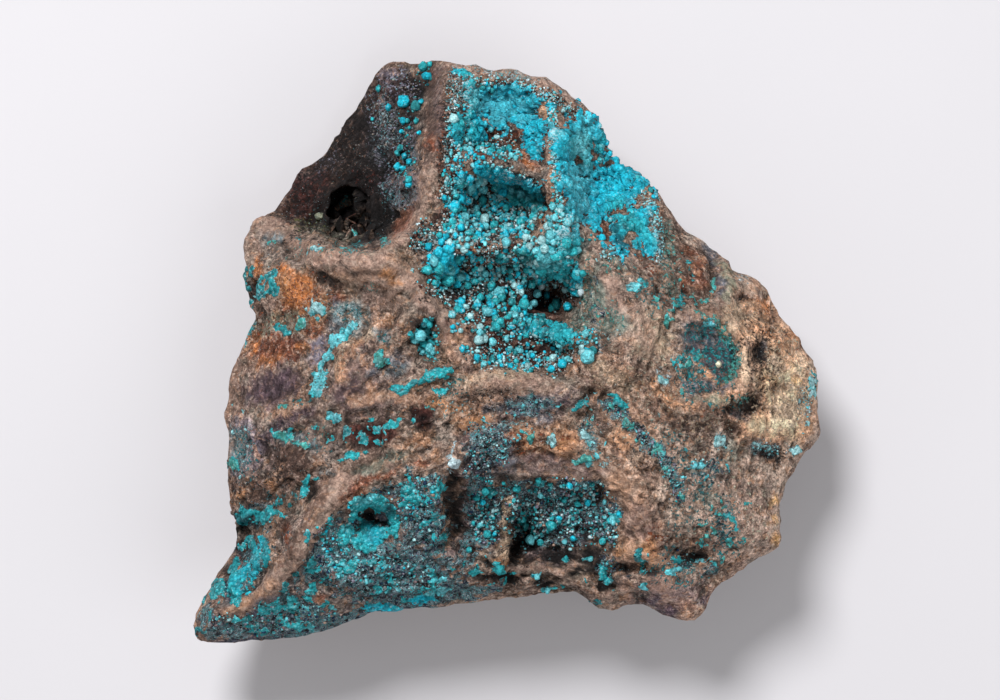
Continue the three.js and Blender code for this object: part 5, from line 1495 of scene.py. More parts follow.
def ball_mesh(balls, smallest=SMALL_BALLS):
    """Many small balls as one mesh, with painted light on each ball's top and painted shade underneath. A
    ball's row is its middle, radius, colour and frosting.
    """
    kinds = []
    start = 0
    large = balls[:, 3] > ROUND_BALL
    for (shapes, faces), rows in ((ROUND_BALLS, balls[large]), (smallest, balls[~large])):
        form = shapes[np.arange(len(rows)) % len(shapes)]
        corners = form.shape[1]
        starts = start + corners * np.arange(len(rows))
        start += corners * len(rows)
        # A ball's colour is lighter on its top and darker underneath: painted light and shade.
        kinds.append((
            (rows[:, None, :3] + rows[:, 3, None, None] * form).reshape(-1, 3),
            (faces[None] + starts[:, None, None]).reshape(-1, 3),
            (rows[:, None, 4:7] * (0.82 + 0.36 * form[..., 2:])).reshape(-1, 3),
            np.repeat(rows[:, 7], corners),
        ))
    points, faces, tints, frosts = (np.concatenate(parts) for parts in zip(*kinds))
    mesh = bpy.data.meshes.new("balls")
    mesh.vertices.add(len(points))
    write_points(mesh, points)
    mesh.loops.add(faces.size)
    mesh.polygons.add(len(faces))
    mesh.loops.foreach_set("vertex_index", faces.ravel().astype(np.int32))
    mesh.polygons.foreach_set("loop_start", np.arange(0, faces.size, 3, dtype=np.int32))
    mesh.update(calc_edges=True)
    return mesh, tints, frosts, np.zeros(len(points))


def join_meshes(name, parts):
    """Several meshes as one, each with its tint, frosting and gaps."""
    bm = bmesh.new()
    for part in parts:
        bm.from_mesh(part[0])
    mesh = mesh_from(bm, name)
    tint, frost, gaps = (np.concatenate([part[kind] for part in parts]) for kind in (1, 2, 3))
    give_colour(mesh, "tint", tint, frost)
    give_number(mesh, "gaps", gaps)
    return mesh


def full_oval(x, y, long, wide=None, turn=0.0):
    return x, y, long, wide or long, turn


def mark_size(mark):
    if is_stroke(mark):
        return mark[0] * 2 * sum(math.dist(a, b) for a, b in zip(mark[1], mark[1][1:]))
    _, _, long, wide, _ = full_oval(*mark)
    return math.pi * long * wide


def stroke_spots(width, path, some, pick):
    path = np.array(path, float)
    step = pick.integers(len(path) - 1, size=some)
    run = path[step + 1] - path[step]
    off = pick.normal(0, 0.5, some)
    across = np.stack([-run[:, 1], run[:, 0]], axis=1) / np.hypot(*run.T)[:, None]
    return path[step] + pick.random(some)[:, None] * run + (off * width)[:, None] * across, np.abs(off)


def oval_spots(oval, some, pick):
    x, y, long, wide, turn = full_oval(*oval)
    a = pick.uniform(0, 2 * math.pi, some)
    out = SPREAD * np.sqrt(pick.random(some))
    along, across, turn = out * long * np.cos(a), out * wide * np.sin(a), math.radians(turn)
    right = x + along * math.cos(turn) - across * math.sin(turn)
    away = y + along * math.sin(turn) + across * math.cos(turn)
    return np.stack([right, away], axis=1), out


def spots_in(marks, count, pick):
    """Random places in and just round the marks, and how far out in its mark each lies."""
    sizes = [mark_size(mark) for mark in marks]
    which = pick.choice(len(marks), count, p=np.array(sizes) / sum(sizes))
    spots, out = np.zeros((count, 2)), np.zeros(count)
    for order, mark in enumerate(marks):
        mine = np.flatnonzero(which == order)
        if is_stroke(mark):
            spots[mine], out[mine] = stroke_spots(*mark, len(mine), pick)
        else:
            spots[mine], out[mine] = oval_spots(mark, len(mine), pick)
    return spots, out


def take_room(taken, place, radius, apart):
    """Whether a ball has room at a place. If it has, the place is taken."""
    column, row = int(place[0] // ROOM), int(place[1] // ROOM)
    for right, away in np.ndindex(3, 3):
        for other, reach in taken.get((column + right - 1, row + away - 1), ()):
            if math.dist(place, other) < apart * (radius + reach):
                return False
    taken.setdefault((column, row), []).append((place, radius))
    return True


def strewn(
    seat, marks, count, radii, colours, seed, apart=0.8, sunk=0.35, bare=(), frost=(0.05, 0.4), heap=0,
):
    """Balls strewn over the marks, thinner towards their edges.

    With heap, they gather in heaps of about that many. Apart is the least distance between two of them, as a
    share of their radii together, and 0 leaves it to chance. Colours are names and weights.
    """
    pick = np.random.default_rng(seed)
    tries = count * TRIES
    spots, out = spots_in(marks, tries, pick)
    rough = waves(np.column_stack([spots, np.zeros(tries)]), 2.6, seed, 2)
    spots = spots[pick.random(tries) < 1 - smooth(out + 0.4 * rough, 0.5, 1.2)]
    if heap:
        heaps = spots[: max(1, count // heap)]
        nearest = np.argmin(((spots[:, None] - heaps[None]) ** 2).sum(2), axis=1)
        spots += pick.uniform(0.1, 0.7, (len(spots), 1)) * (heaps[nearest] - spots)
    for oval in bare:
        spots = spots[in_oval(spots, *oval) > 1]
    sizes = radii[0] + (radii[1] - radii[0]) * pick.random(len(spots)) ** SMALLER
    weights = np.array([weight for _, weight in colours], float)
    kinds = pick.choice(len(colours), len(spots), p=weights / weights.sum())
    tints = np.array([linear(colour) for colour, _ in colours])[kinds]
    tints = tints * pick.uniform(0.78, 1.18, (len(spots), 1))
    dusting = pick.uniform(*frost, len(spots))
    found, taken = [], {}
    for spot, radius, tint, dust in zip(spots, sizes, tints, dusting):
        if len(found) == count:
            break
        point, normal = seat.below(*spot)
        if point is None or normal.z < STEEPEST:
            continue
        place = tuple(value / MM for value in point)
        if apart and not take_room(taken, place, radius, apart):
            continue
        lift = radius * (0.7 - sunk)
        middle = (value + slope * lift for value, slope in zip(place, normal))
        found.append((*middle, radius, *tint, dust))
    return np.array(found)


def placed(seat, beads, colours, seed, sunk=0.3, frost=(0.02, 0.25)):
    """Beads with a place of their own: x, y and radius."""
    pick = random.Random(seed)
    names, weights = zip(*colours)
    found = []
    for x, y, radius in beads:
        point, normal = seat.below(x, y)
        middle = np.array(point) / MM + np.array(normal) * radius * (1 - sunk)
        tint = linear(pick.choices(names, weights)[0])
        found.append((*middle, radius, *(tint * pick.uniform(0.85, 1.15)), pick.uniform(*frost)))
    return np.array(found)


# Colours of the crusts' beads and grains, and how often each is taken.
BEAD_BLUES = [("turquoise", 4), ("bright_blue", 4), ("light_blue", 4), ("teal", 1), ("pale_blue", 2)]
FILM_BLUES = [("bright_blue", 5), ("turquoise", 3), ("light_blue", 2), ("teal", 1)]
DARK_BLUES = [("teal", 3), ("turquoise", 3), ("dark_teal", 2), ("light_blue", 1)]
PALE_BLUES = [("pale_blue", 3), ("light_blue", 4), ("turquoise", 3), ("frost", 1)]
SALT = [
    ("frost", 3), ("pale_blue", 4), ("soot", 4), ("grey_tan", 2), ("red_brown", 2), ("brown", 2),
    ("light_blue", 2), ("turquoise", 1), ("pink_tan", 3),
]
RIM_DRUSE = [("pale_blue", 3), ("frost", 1), ("light_blue", 3), ("grey_tan", 3), ("brown", 3)]
SPECKLE = [
    ("pale_blue", 4), ("light_blue", 3), ("navy", 3), ("teal", 3), ("slate", 3), ("turquoise", 1),
    ("mauve", 3), ("ash", 3), ("soot", 2), ("lilac_grey", 3), ("pink_tan", 2),
]

# ---------------------------------------------------------------- the crusts, part by part
# Spots of earth in the main pocket, which neither film nor beads cover.
EARTHY = [
    (-2, 35.9, 1.3), (1.4, 35.4, 1, 1.1), (5.8, 39.2, 1.1, 1.5), (11.5, 31.2, 0.8, 0.9), (14.7, 32.5, 0.8, 1),
    (10.4, 37.4, 0.6, 1.1), (13.8, 24.8, 0.9, 0.8), (17.8, 22.8, 1.4, 1), (16.6, 19.4, 1, 2, 10),
    (22.8, 25.2, 1.2, 1.7), (17.3, 31, 0.9, 0.8), (20.6, 17.6, 0.8, 2.1), (-2, 42.6, 1, 0.5),
    (-4.2, 44, 0.9, 0.6), (3.4, 42.6, 0.7, 0.5), (12.6, 28.6, 0.7, 0.6), (19.6, 22.8, 0.7, 1.1),
    (20.8, 27, 0.8, 0.5), (24, 21, 0.6, 1.1), (14.8, 28, 0.6, 0.5),
]
POCKET_FILM = [
    (0.4, 40.8, 6.4, 3.2, -6), (-5.4, 42.6, 1.6, 2), (-7.4, 45.4, 1.1, 0.8), (5, 35.2, 1.6, 4.4),
    (-5, 37, 1.4, 3), (-8, 36, 0.9, 2.4), (11.6, 32.6, 3.4, 7, -20), (17, 26, 4.8, 6.6, -50),
    (20.4, 19.6, 3, 4.6, -30), (11, 26, 2, 4.6), (14, 36.4, 1.4, 3, 10), (23.4, 19, 1.4, 4.6, 10),
    (0.8, [(-4.4, 29.6), (0.6, 28.2), (5, 26.6)]),
    (2, 25.6, 4, 1.9, -16), (4.4, 24, 1.6), (7.8, 35.4, 1.2, 1.6), (8, 14.8, 3, 2.6, -20),
    (7.6, 3, 4.4, 0.9, -12), (13.4, -0.6, 1), (3, 16.2, 2, 0.9), (9.6, 18.4, 2, 1.6), (11.6, 11, 0.8, 3),
    (-9.6, 13.6, 2, 2.6), (-0.3, 36.8, 0.7, 1.6), (-3.4, 36.4, 0.7, 2), (2.8, 37, 0.9, 1),
]
POCKET_BARE = [
    (0.9, [(0.6, 34), (2.6, 32), (4.4, 29.8)]),
    (-1, 33, 2.4, 0.9), (8.2, 28.6, 0.6, 2), (8.4, 23, 0.7, 1.9),
]
# Colours over the film's own: colour, strength and marks.
POCKET_TINTS = [
    ("turquoise", 0.8, [(8, 15, 5), (8, 3, 6, 1.6, -12), (-7, 40, 2, 8), (20, 21, 5, 2, -50), (13, 33, 3)]),
    ("green_teal", 0.7, [(2, 25, 4.4, 2, -16), (4.4, 24, 2), (2.4, 15.6, 2, 1.4)]),
    # Deep teal, mostly painted shadow under the overhang beside the rib and under the low ledges.
    ("deep_teal", 0.8, [
        (18.6, 17.6, 1.2, 2.4), (5.2, 33.4, 0.6, 2.2), (5.4, 1.6, 3, 0.5, -20), (2.4, 15.6, 1, 0.9),
    ]),
    # Painted light: paler blue on steep walls that the lamp leaves in shade.
    ("light_blue", 0.45, [(11.6, 28, 2.2, 8), (13, 37, 1.6, 2), (0, 41, 5, 4, -8)]),
    ("light_blue", 0.7, [
        (8, 35.6, 1.2, 1.5), (-5, 42, 0.9, 2), (24.4, 19, 0.8, 4.6, 10), (9.4, 19, 1.4, 1.6),
        (12, 34, 1, 2.4), (7, 15, 2, 1.6),
    ]),
]
POCKET_DUST = [
    (-6.4, 41, 0.9, 4.4), (8, 35, 1, 2), (24.6, 19, 0.9, 5.4, 10), (9.4, 19.4, 1.6, 2.6),
    (2, 28.2, 3, 0.6, -12),
]
# Beads with a place of their own: x, y and radius.
POCKET_BEADS = [
    (-10.5, 16, 1), (-9.3, 16.3, 0.9), (-10.3, 13.8, 1.2), (-8.8, 13.5, 1), (-10, 11.5, 1.1),
    (-12.8, 12.8, 0.9), (-11.6, 14.6, 0.9), (-11.4, 12.2, 0.8), (-8.2, 15, 0.8), (-8.7, 23.5, 0.9),
    (-7.7, 24.5, 0.8), (-6, 26.8, 0.9), (-9, 17.6, 0.7), (-7.6, 12, 0.8), (-12.4, 16.6, 0.7), (-8, 10.8, 0.7),
    (-8.8, 38, 0.8), (-7.6, 36.8, 0.7), (-3.5, 21, 0.9), (-3.5, 12.5, 0.8), (-2.5, 10.5, 0.8), (-1.3, 8.8, 1),
    (-0.6, 8, 0.8), (-8, 6.3, 0.7), (-4, 8.3, 0.8), (-2.5, 5.7, 0.9), (-1, 4.3, 0.9), (1, 7.5, 0.7),
    (2.8, 7, 0.9), (1.5, 5.3, 0.7), (9, 7.2, 0.9), (10.5, 6.8, 0.9), (8, 6.6, 0.7), (13.5, -0.7, 1.2),
    (12.6, 0, 0.8), (14.2, 0.2, 0.7), (6.4, 16.6, 0.9), (8.4, 15.6, 0.9), (9.6, 17.4, 0.9), (7.6, 18.4, 0.8),
    (5.6, 13.4, 0.9), (0.6, 19.4, 0.8), (1, 26, 0.9), (2.6, 25.4, 1), (4, 24.6, 0.8), (-0.6, 25.6, 0.8),
    (3.2, 23.8, 0.7), (1.4, 24.2, 0.8), (-2.4, 36.4, 0.5), (-1.4, 34.8, 0.5), (0, 36.8, 0.5), (4, 10.6, 0.8),
    (4.8, 9.2, 0.7), (4.4, 7.8, 0.7), (5.4, 12, 0.7), (1, 31.4, 0.6), (1.8, 31, 0.5), (-4.6, 1.8, 0.8),
    (-3.4, 2.2, 0.8), (-2.2, 1.4, 0.7), (0.8, 0, 0.6), (2.2, 0, 0.7), (8, -1.6, 0.7), (9.4, -2.4, 0.8),
    (7.6, -3.4, 0.6), (10.4, -1.6, 0.6), (-4.6, -1.4, 0.6), (-1, -1.4, 0.6), (4, -3.6, 0.5), (12.8, 2.4, 0.6),
]
# Beads at random: how many, radii, colours, seed, how far apart, how many to a heap, and marks.
POCKET_STREWN = [
    (430, (0.3, 0.8), BEAD_BLUES, 21, 0.6, 9, [(-4, 24, 5.6), (1, 22, 5), (-6.6, 19.6, 4)]),
    (380, (0.28, 0.78), BEAD_BLUES, 22, 0.6, 9, [(-3, 12.6, 9.6, 4.4), (0, 5, 8, 3.4), (-11, 13.6, 3)]),
    (280, (0.3, 0.8), PALE_BLUES, 23, 0.6, 8, [(7, 15.6, 4.6, 4.4), (9, 20, 3, 3.4), (11.4, 11, 1.4, 3.4)]),
    (240, (0.24, 0.6), BEAD_BLUES, 24, 0.8, 8, [(2, -1.4, 8.6, 2.2, -6), (8, 1.6, 5, 1.6, -8), (13, 2, 2)]),
    (240, (0.22, 0.6), BEAD_BLUES, 25, 0.8, 5, [(-2, 32.6, 4, 2), (-6.6, 34, 2.4, 7), (-9, 28, 1.4, 5)]),
    (330, (0.22, 0.62), FILM_BLUES, 26, 0.8, 4, [
        (0, 41, 7, 3, -8), (14.6, 34, 2, 5, 10), (13, 30, 5, 7, -20), (19, 23, 5, 8, -50),
    ]),
    (260, (0.14, 0.34), RIM_DRUSE, 27, 0.7, 0, [
        (1.1, [(24.6, 26), (25.4, 21), (24.4, 15.6)]),
        (1.2, [(-8, 44.6), (0, 44.4), (8, 41.6), (13.6, 37.4)]),
    ]),
    (240, (0.14, 0.36), PALE_BLUES, 28, 0.7, 0, [
        (1.1, [(7.6, 41), (8, 34), (8.4, 27), (9, 20)]), (1, [(-5, 30.6), (0.6, 29), (5.4, 27)]),
    ]),
]


def main_pocket(stone, seat):
    """Blue film in the upper and right chambers, beads below, and earthy spots between."""
    film = film_mesh(
        stone, POCKET_FILM, "bright_blue", POCKET_TINTS, EARTHY + POCKET_BARE, thickness=0.75, knob=1.5,
        seed=3, dust=0.05, dusted=POCKET_DUST,
    )
    balls = [placed(seat, POCKET_BEADS, BEAD_BLUES, seed=11)]
    for count, radii, colours, seed, apart, heap, marks in POCKET_STREWN:
        balls.append(strewn(seat, marks, count, radii, colours, seed, apart, bare=EARTHY, heap=heap))
    return [film, ball_mesh(np.vstack(balls))]


HOLLOW_BEADS = [
    (-13.2, 46.8, 0.95), (-12.5, 45.3, 0.8), (-12.2, 47.4, 0.5), (-16.6, 40.7, 1.1), (-14.2, 40.2, 0.9),
    (-13.6, 41, 0.5), (-16.8, 38.3, 0.6), (-16, 38.2, 0.5), (-14.4, 38, 0.5), (-17, 33.6, 0.6),
    (-17.4, 32.8, 0.6), (-16.3, 32.2, 0.5), (-17.3, 30.3, 0.8), (-16.6, 29.8, 0.5), (-15.4, 30.8, 0.6),
    (-15.3, 27.8, 0.7), (-15.4, 27, 0.6), (-14, 35.5, 0.4), (-20.9, 43.6, 0.5), (-20.9, 44.2, 0.3),
    (-22, 38.6, 0.4), (-19.3, 40.4, 0.6), (-17, 36.2, 0.4), (-15.6, 36.8, 0.35),
]
HOLLOW_STREWN = [(-16.4, 32, 1.6, 5.4), (-15.4, 39.4, 2, 2.4), (-13.2, 45.6, 1.2, 2)]


def dark_hollow(stone, seat):
    """A few beads on the inner wall of the dark hollow."""
    colours = [("turquoise", 4), ("teal", 1), ("bright_blue", 3)]
    beads = placed(seat, HOLLOW_BEADS, colours, seed=31, frost=(0, 0.06))
    few = strewn(seat, HOLLOW_STREWN, 90, (0.12, 0.32), DARK_BLUES, seed=32, apart=0.9)
    return [ball_mesh(np.vstack([beads, few]))]


PIT_FILM = [(-12.8, 0.4, 1.3, 1.6, 40), (-14.4, 2.2, 1, 0.9), (-12.6, 3.6, 0.9, 1.4)]
PIT_TINTS = [("deep_teal", 0.7, [(-13.6, 0, 1, 1.6)])]
PIT_BEADS = [
    (-12.5, 4.5, 0.7), (-12.2, 3.5, 0.7), (-12.6, 2.6, 0.6), (-14.4, 2.4, 1), (-15, 1.6, 0.6),
    (-13.2, 1, 0.7), (-12, 0.2, 0.8), (-11.4, -0.4, 0.6), (-13.6, -0.4, 0.5),
]
PIT_STREWN = [(-12.8, 1.4, 2, 3.6)]


def small_pit(stone, seat):
    """The small pit on the left."""
    film = film_mesh(stone, PIT_FILM, "turquoise", PIT_TINTS, thickness=0.4, knob=0.8, seed=5)
    colours = [("turquoise", 4), ("light_blue", 2), ("teal", 1)]
    beads = placed(seat, PIT_BEADS, colours, seed=41)
    few = strewn(seat, PIT_STREWN, 60, (0.16, 0.4), DARK_BLUES, seed=42)
    return [film, ball_mesh(np.vstack([beads, few]))]


BLUE_HOLE_FILM = [
    (-22, -30.2, 2.9, 1.9), (-22.6, -32.2, 1.3, 1.2),
    (1, [(-25.2, -26.8), (-23.8, -25), (-21.4, -24.6), (-19.4, -25.8), (-18.2, -27.8)]),
    (-26.2, -30.2, 1, 1.4), (-24.6, -27.4, 0.7, 0.6), (-18, -29.6, 0.9, 1),
]
# The film leaves bare the black painted shadow on the hole's upper wall.
BLUE_HOLE_BARE = [(-22, -26.9, 1.9, 0.9)]
BLUE_HOLE_TINTS = [
    ("bright_blue", 0.6, [(-21.6, -30.6, 2, 1.4)]),
    # Deep teal here is painted shadow on the hole's upper wall.
    ("deep_teal", 0.85, [(-22, -28.4, 3, 0.6), (-19, -26.6, 0.9, 1.4)]),
    ("light_blue", 0.6, [(-22.4, -24.2, 2.6, 0.5, 8), (-26.6, -30, 0.6, 1)]),
]
BLUE_HOLE_RIM = [(0.9, [(-25.4, -26), (-22, -24), (-18, -26), (-17.6, -29)]), (-26, -31, 1, 1.6)]
BLUE_HOLE_STREWN = [(-27.6, -32, 3, 3.6), (-14, -25, 3, 3.6, 20), (-21, -35, 6, 1.6)]


def blue_hole(stone, seat):
    """The turquoise hole at the lower left, and the beads round it."""
    film = film_mesh(
        stone, BLUE_HOLE_FILM, "turquoise", BLUE_HOLE_TINTS, BLUE_HOLE_BARE, thickness=0.34, seed=6,
    )
    rim = strewn(seat, BLUE_HOLE_RIM, 60, (0.2, 0.5), BEAD_BLUES, seed=51, apart=0.85, heap=3)
    few = strewn(seat, BLUE_HOLE_STREWN, 160, (0.12, 0.34), BEAD_BLUES, seed=52, apart=0.9, heap=3)
    return [film, ball_mesh(np.vstack([rim, few]))]


FOOT_FILM = [
    (-40.6, -27.3, 3.6, 0.9, 6), (-43.6, -27.8, 1.2, 1.1), (-43.4, -37.8, 2, 2.2, -30),
    (-41.2, -35.6, 0.9, 3.4, -8), (-42, -31.8, 1), (-44.4, -39.6, 2.4, 0.7),
    (0.55, [(-39.6, -31), (-39, -33), (-39.2, -35)]),
    (-45, -36, 0.8, 1.6, -20),
]
FOOT_BARE = [
    (-43.8, -32.2, 0.8, 1),
    (0.35, [(-43.2, -33.6), (-44.4, -36.4)]),
    (0.3, [(-42.4, -39.6), (-41.8, -36.4)]),
]
FOOT_TINTS = [
    ("deep_teal", 0.35, [(-43, -34, 4, 9, -20)]),
    ("bright_blue", 0.5, [(-42, -37.4, 2.2, 2.6, -30), (-40, -32, 0.8, 1.6)]),
    ("deep_teal", 0.8, [(-44, -30, 1, 1.6), (-41, -28.4, 2, 0.5), (-41.6, -33, 0.6, 1)]),
]
FOOT_STREWN = [(-43, -37, 2.2, 3.4, -24), (-40.6, -27.6, 3.4, 1, 6), (-46.6, -39.4, 1.4)]


def foot(stone, seat):
    """The groove above the foot at the lower left."""
    film = film_mesh(
        stone, FOOT_FILM, "turquoise", FOOT_TINTS, FOOT_BARE, thickness=0.36, seed=7, gappy=0.08, dust=0,
    )
    balls = strewn(seat, FOOT_STREWN, 110, (0.14, 0.42), DARK_BLUES, seed=61, apart=0.85, heap=3)
    return [film, ball_mesh(balls)]


# Ridges that stand clear of the crusts.
CLEAR = [(-0.2, -29, 0.7, 4.8, 4), (-29.6, -25, 2, 4, 26), (-34, -33, 2.2, 4.4, 32), (-39, -39.4, 1.6, 3, 52)]
VUG_BEADS = [
    (-3.3, -22.6, 0.8), (-1.8, -22.9, 0.7), (-2.4, -23.6, 0.5), (-4.6, -24.4, 0.6), (-3.8, -24.9, 0.5),
    (1.9, -22.4, 0.7), (5.4, -20.8, 0.6), (3.2, -27.7, 0.9), (3.6, -29, 0.7), (2.8, -26.8, 0.5),
    (4.6, -31.7, 0.9), (6, -31.9, 0.6), (8, -28.6, 1.1), (8.8, -27.8, 0.5), (7.4, -29.4, 0.5),
    (-3, -30.6, 0.7), (-2, -30.4, 0.5), (-4, -28.6, 0.5), (18, -27.6, 0.8), (17.2, -28.2, 0.6),
    (18.8, -26.8, 0.5), (16.2, -31.3, 0.6), (10.6, -21.8, 0.6), (11.6, -22.2, 0.5), (14.2, -21.6, 0.5),
    (12, -25.2, 0.6), (13.2, -25, 0.6), (7.6, -21.8, 0.5), (6, -23.6, 0.5), (9.6, -24.4, 0.5),
    (-1, -35.4, 0.8), (5.2, -37, 0.6), (7, -39.2, 0.6), (-6, -33, 0.5), (9.8, -31.4, 0.5), (11.2, -30.8, 0.5),
    (10, -34.4, 0.5), (14, -34.4, 0.4),
]
VUG_STREWN = [(6, -26.6, 10, 5), (-3.6, -27, 2, 6), (12, -22.6, 4, 1.2, -14), (16, -29.6, 2.6, 3)]


def lower_vug(stone, seat):
    """Sparse crystals on the walls of the dark vug at the bottom."""
    colours = [("turquoise", 4), ("bright_blue", 2), ("light_blue", 3), ("teal", 2)]
    beads = placed(seat, VUG_BEADS, colours, seed=71)
    colours = PALE_BLUES + [("teal", 3), ("slate", 2)]
    few = strewn(seat, VUG_STREWN, 260, (0.14, 0.42), colours, seed=72, apart=0.9, bare=CLEAR, heap=6)
    return [ball_mesh(np.vstack([beads, few]))]


# Crusts of their own on the open stone: colour and marks.
PATCHES = [
    ("teal", [
        (-39, 12.4, 1.2, 0.9), (-38.4, 10.4, 1, 1.4, 20), (-40.4, 10, 0.7, 1.7),
        (0.5, [(-42.4, 14), (-43, 11), (-42, 8)]), (-36.3, 3.2, 0.8), (-26, -13.8, 0.9, 1.3, 10),
        (-23.4, -14, 0.8, 0.9), (-47.4, -39.4, 1.2, 1.7, -20), (-37.2, -24.9, 0.5, 0.9),
        (-35.6, -25.8, 0.8, 0.45), (-43.4, -44.6, 1.6, 0.8, 30), (-40.6, -46, 1.6, 0.6),
        (22.2, -34.4, 0.6, 1.7), (10, -34.4, 0.6, 0.5), (13.8, -34.6, 0.5, 0.4), (15, -41.4, 0.6, 0.5),
        (-36, -38.8, 0.8, 1.1), (-48.8, -43.8, 0.5), (-50.8, -46.2, 0.8, 0.6), (-12.5, 4.6, 0.9, 0.8),
    ]),
    ("turquoise", [
        (0.75, [(-18.6, -6.2), (-16, -6.2), (-13.6, -4.8), (-11, -3.4), (-9.4, -3.4)]),
        (-10.2, -6.3, 1.7, 0.7, 10), (-18.4, -12.6, 1.7, 0.9, 30), (-17.2, -11.5, 0.7),
        (-21, -12.6, 0.6, 0.7), (-20.4, -15, 0.8, 0.5), (-25.4, -17.5, 2, 0.7, 10), (-23, -16.6, 1, 0.6, 20),
        (-32.9, -22.9, 0.85, 2.1, -24), (-30.8, -21.4, 0.8, 0.4), (19, -8.3, 1.2, 0.7, -20),
        (12.6, -8.5, 1.8, 0.5, 40), (17.6, -7.4, 0.6, 0.4), (-15.4, -23.8, 2, 1.2, -30),
        (-11.3, -22.4, 1.4, 1.7, -20), (16.2, -37, 1.2, 1.2, -30), (6.8, -39.4, 1.7, 0.5, 8),
        (-1.2, -35.7, 1.1, 0.9), (-5, -36.2, 0.9, 0.7), (-28, -35.4, 1.4, 0.9), (-25.4, -35.2, 1.3, 1.4),
        (-31.6, -35.6, 1.1, 0.8), (-26.6, -30.4, 1.2, 1.3), (-20.6, -34.8, 0.7, 1.1),
        (-37.8, -42.4, 2.4, 1, 10), (-34.4, -41.4, 1.2, 0.9), (-33.4, -45.4, 1.9, 0.7), (-32, -39.6, 1, 1.1),
        (18.2, -27.6, 0.9, 1, 30), (28.3, -34.2, 1.3, 0.8),
        (0.33, [(34.6, -27.2), (35.8, -27.2), (36.8, -27.5), (38, -28), (38.3, -29.6)]),
        (37, -31.1, 0.5, 0.35), (39.2, -32.8, 0.4, 0.5),
    ]),
    ("bright_blue", [(-20.6, -42.3, 2.8, 0.7, -4), (-13.6, -41.3, 2.6, 0.6, 4), (5.2, -37, 0.8, 0.5, -30)]),
    ("green_teal", [
        (-33.6, 4.4, 0.8, 1.1), (-20, -1.8, 1.3, 1.1, 20), (-36.6, -9, 1.2, 0.5, 20),
        (-36, -14.2, 1.8, 0.6, -20), (-33, -15.4, 1.2, 0.5, -30), (-45, -18.6, 0.8, 1.1),
        (4.2, -14, 0.9, 0.7), (12.6, -18, 1.7, 0.5), (19.8, -11.4, 1, 0.5, -40), (24.6, -16.6, 1.3, 0.6, -50),
        (29.6, -2.2, 0.9, 0.7, 20), (31.8, -1.3, 1, 0.3, 20), (28.6, -6.4, 0.6, 0.4),
        (0.25, [(34.2, 12.6), (34.5, 10.6), (33.6, 8.6), (31.2, 7.5)]), (-25.3, 16.2, 1, 0.4),
        (-19.8, 17.6, 0.7, 0.5), (-25, 18.8, 0.5), (28.4, -23.4, 0.6, 1.2, 20), (-38.4, 17.6, 0.6, 0.5),
        (-12, -9.4, 0.8, 0.5),
    ]),
    ("light_blue", [
        (0.6, [(-24.8, 4.6), (-26.4, 2.8), (-28, 1.2), (-29, -0.8), (-29.9, -2.8)]), (-30.6, -5.4, 1, 2, -10),
        (-27.8, -11, 1.3, 0.6, -50), (33.2, 4.5, 1.4, 0.55, -50), (21.4, 10.6, 1.2, 0.9),
        (31.4, -18.4, 1.1, 0.6), (32, -34.6, 0.9, 0.4), (27.8, -36.4, 1.3, 0.5, 10), (22.6, -38.6, 0.9, 0.5),
        (-10.4, -39.6, 1.1, 0.7),
    ]),
    ("pale_blue", [
        (-30.9, 7, 1.3, 1.4), (-31.1, 16.2, 1.1, 0.6), (7.6, -14.6, 1, 0.9), (13, -14, 0.6, 1.3),
        (50.8, -6.4, 0.5, 2.4), (47.8, -16.8, 0.7), (34.9, -15, 0.8, 0.9), (42.4, -16, 1.5, 0.4, -20),
        (25.6, -4.8, 1.1, 0.6, -40),
    ]),
]
# Small crusts scattered at random: colour, how many, the largest one's radius, and where.
SCATTERED = [
    ("turquoise", 60, 0.8, [
        (-27, -33, 5, 4.4), (-20, -37.6, 8, 3.4, -4), (-14, -27, 3, 5.6, 12), (-37, -43.4, 7, 3, -4),
        (-44, -37, 2.4, 4, -24),
    ]),
    ("light_blue", 60, 0.6, [
        (-25, -34, 6, 4), (-15, -37.6, 6, 3), (-14, -26, 3, 4), (-34, -44, 6, 2.4, -4), (-11, -38, 2, 3),
    ]),
    ("teal", 40, 0.6, [
        (-24, -36, 9, 4.4), (-38, -43, 6, 3), (-48, -43.6, 3, 2.4, 20), (33, -35.4, 4, 2), (17, -36.6, 3),
    ]),
    ("green_teal", 50, 0.55, [
        (1, [(17, -8.6), (20.6, -12), (24, -16), (27, -19.4), (28.6, -25)]), (13.4, -14, 1.4, 4),
        (28, 8, 3, 4), (36, -29, 4, 5),
    ]),
    ("light_blue", 40, 0.5, [
        (1, [(19, -10.6), (24, -16), (28, -22)]), (14, -16, 2, 3), (-2, -14, 4, 3), (4, -9.4, 5, 1.4),
        (33, -19, 4, 3),
    ]),
    ("turquoise", 44, 0.55, [
        (5, -26, 10, 4.6), (-4, -27, 2.4, 6.6), (17, -28, 2.4, 3.4), (-6, -37, 6, 2), (10, -39, 6, 1, 10),
    ]),
    ("pale_blue", 40, 0.45, [
        (48.6, -8, 1.6, 6), (43, -16.4, 3, 1, -20), (6, -26, 9, 4), (-44, -15, 2, 5), (33, -16, 3, 2),
    ]),
    ("turquoise", 24, 0.5, [
        (-22, -13, 6, 2.4, 8), (-12, -6, 3, 1.6), (-34, -14, 4, 2), (-41, -27, 4, 1.4), (30, -3, 2.4),
    ]),
]
CHIP = [
    (-8.7, -19, 1.1, 0.8, 15), (-7.8, -18.5, 0.7, 0.6),
    (0.22, [(-9.3, -18.2), (-8.5, -16.6), (-8.2, -15)]),
]


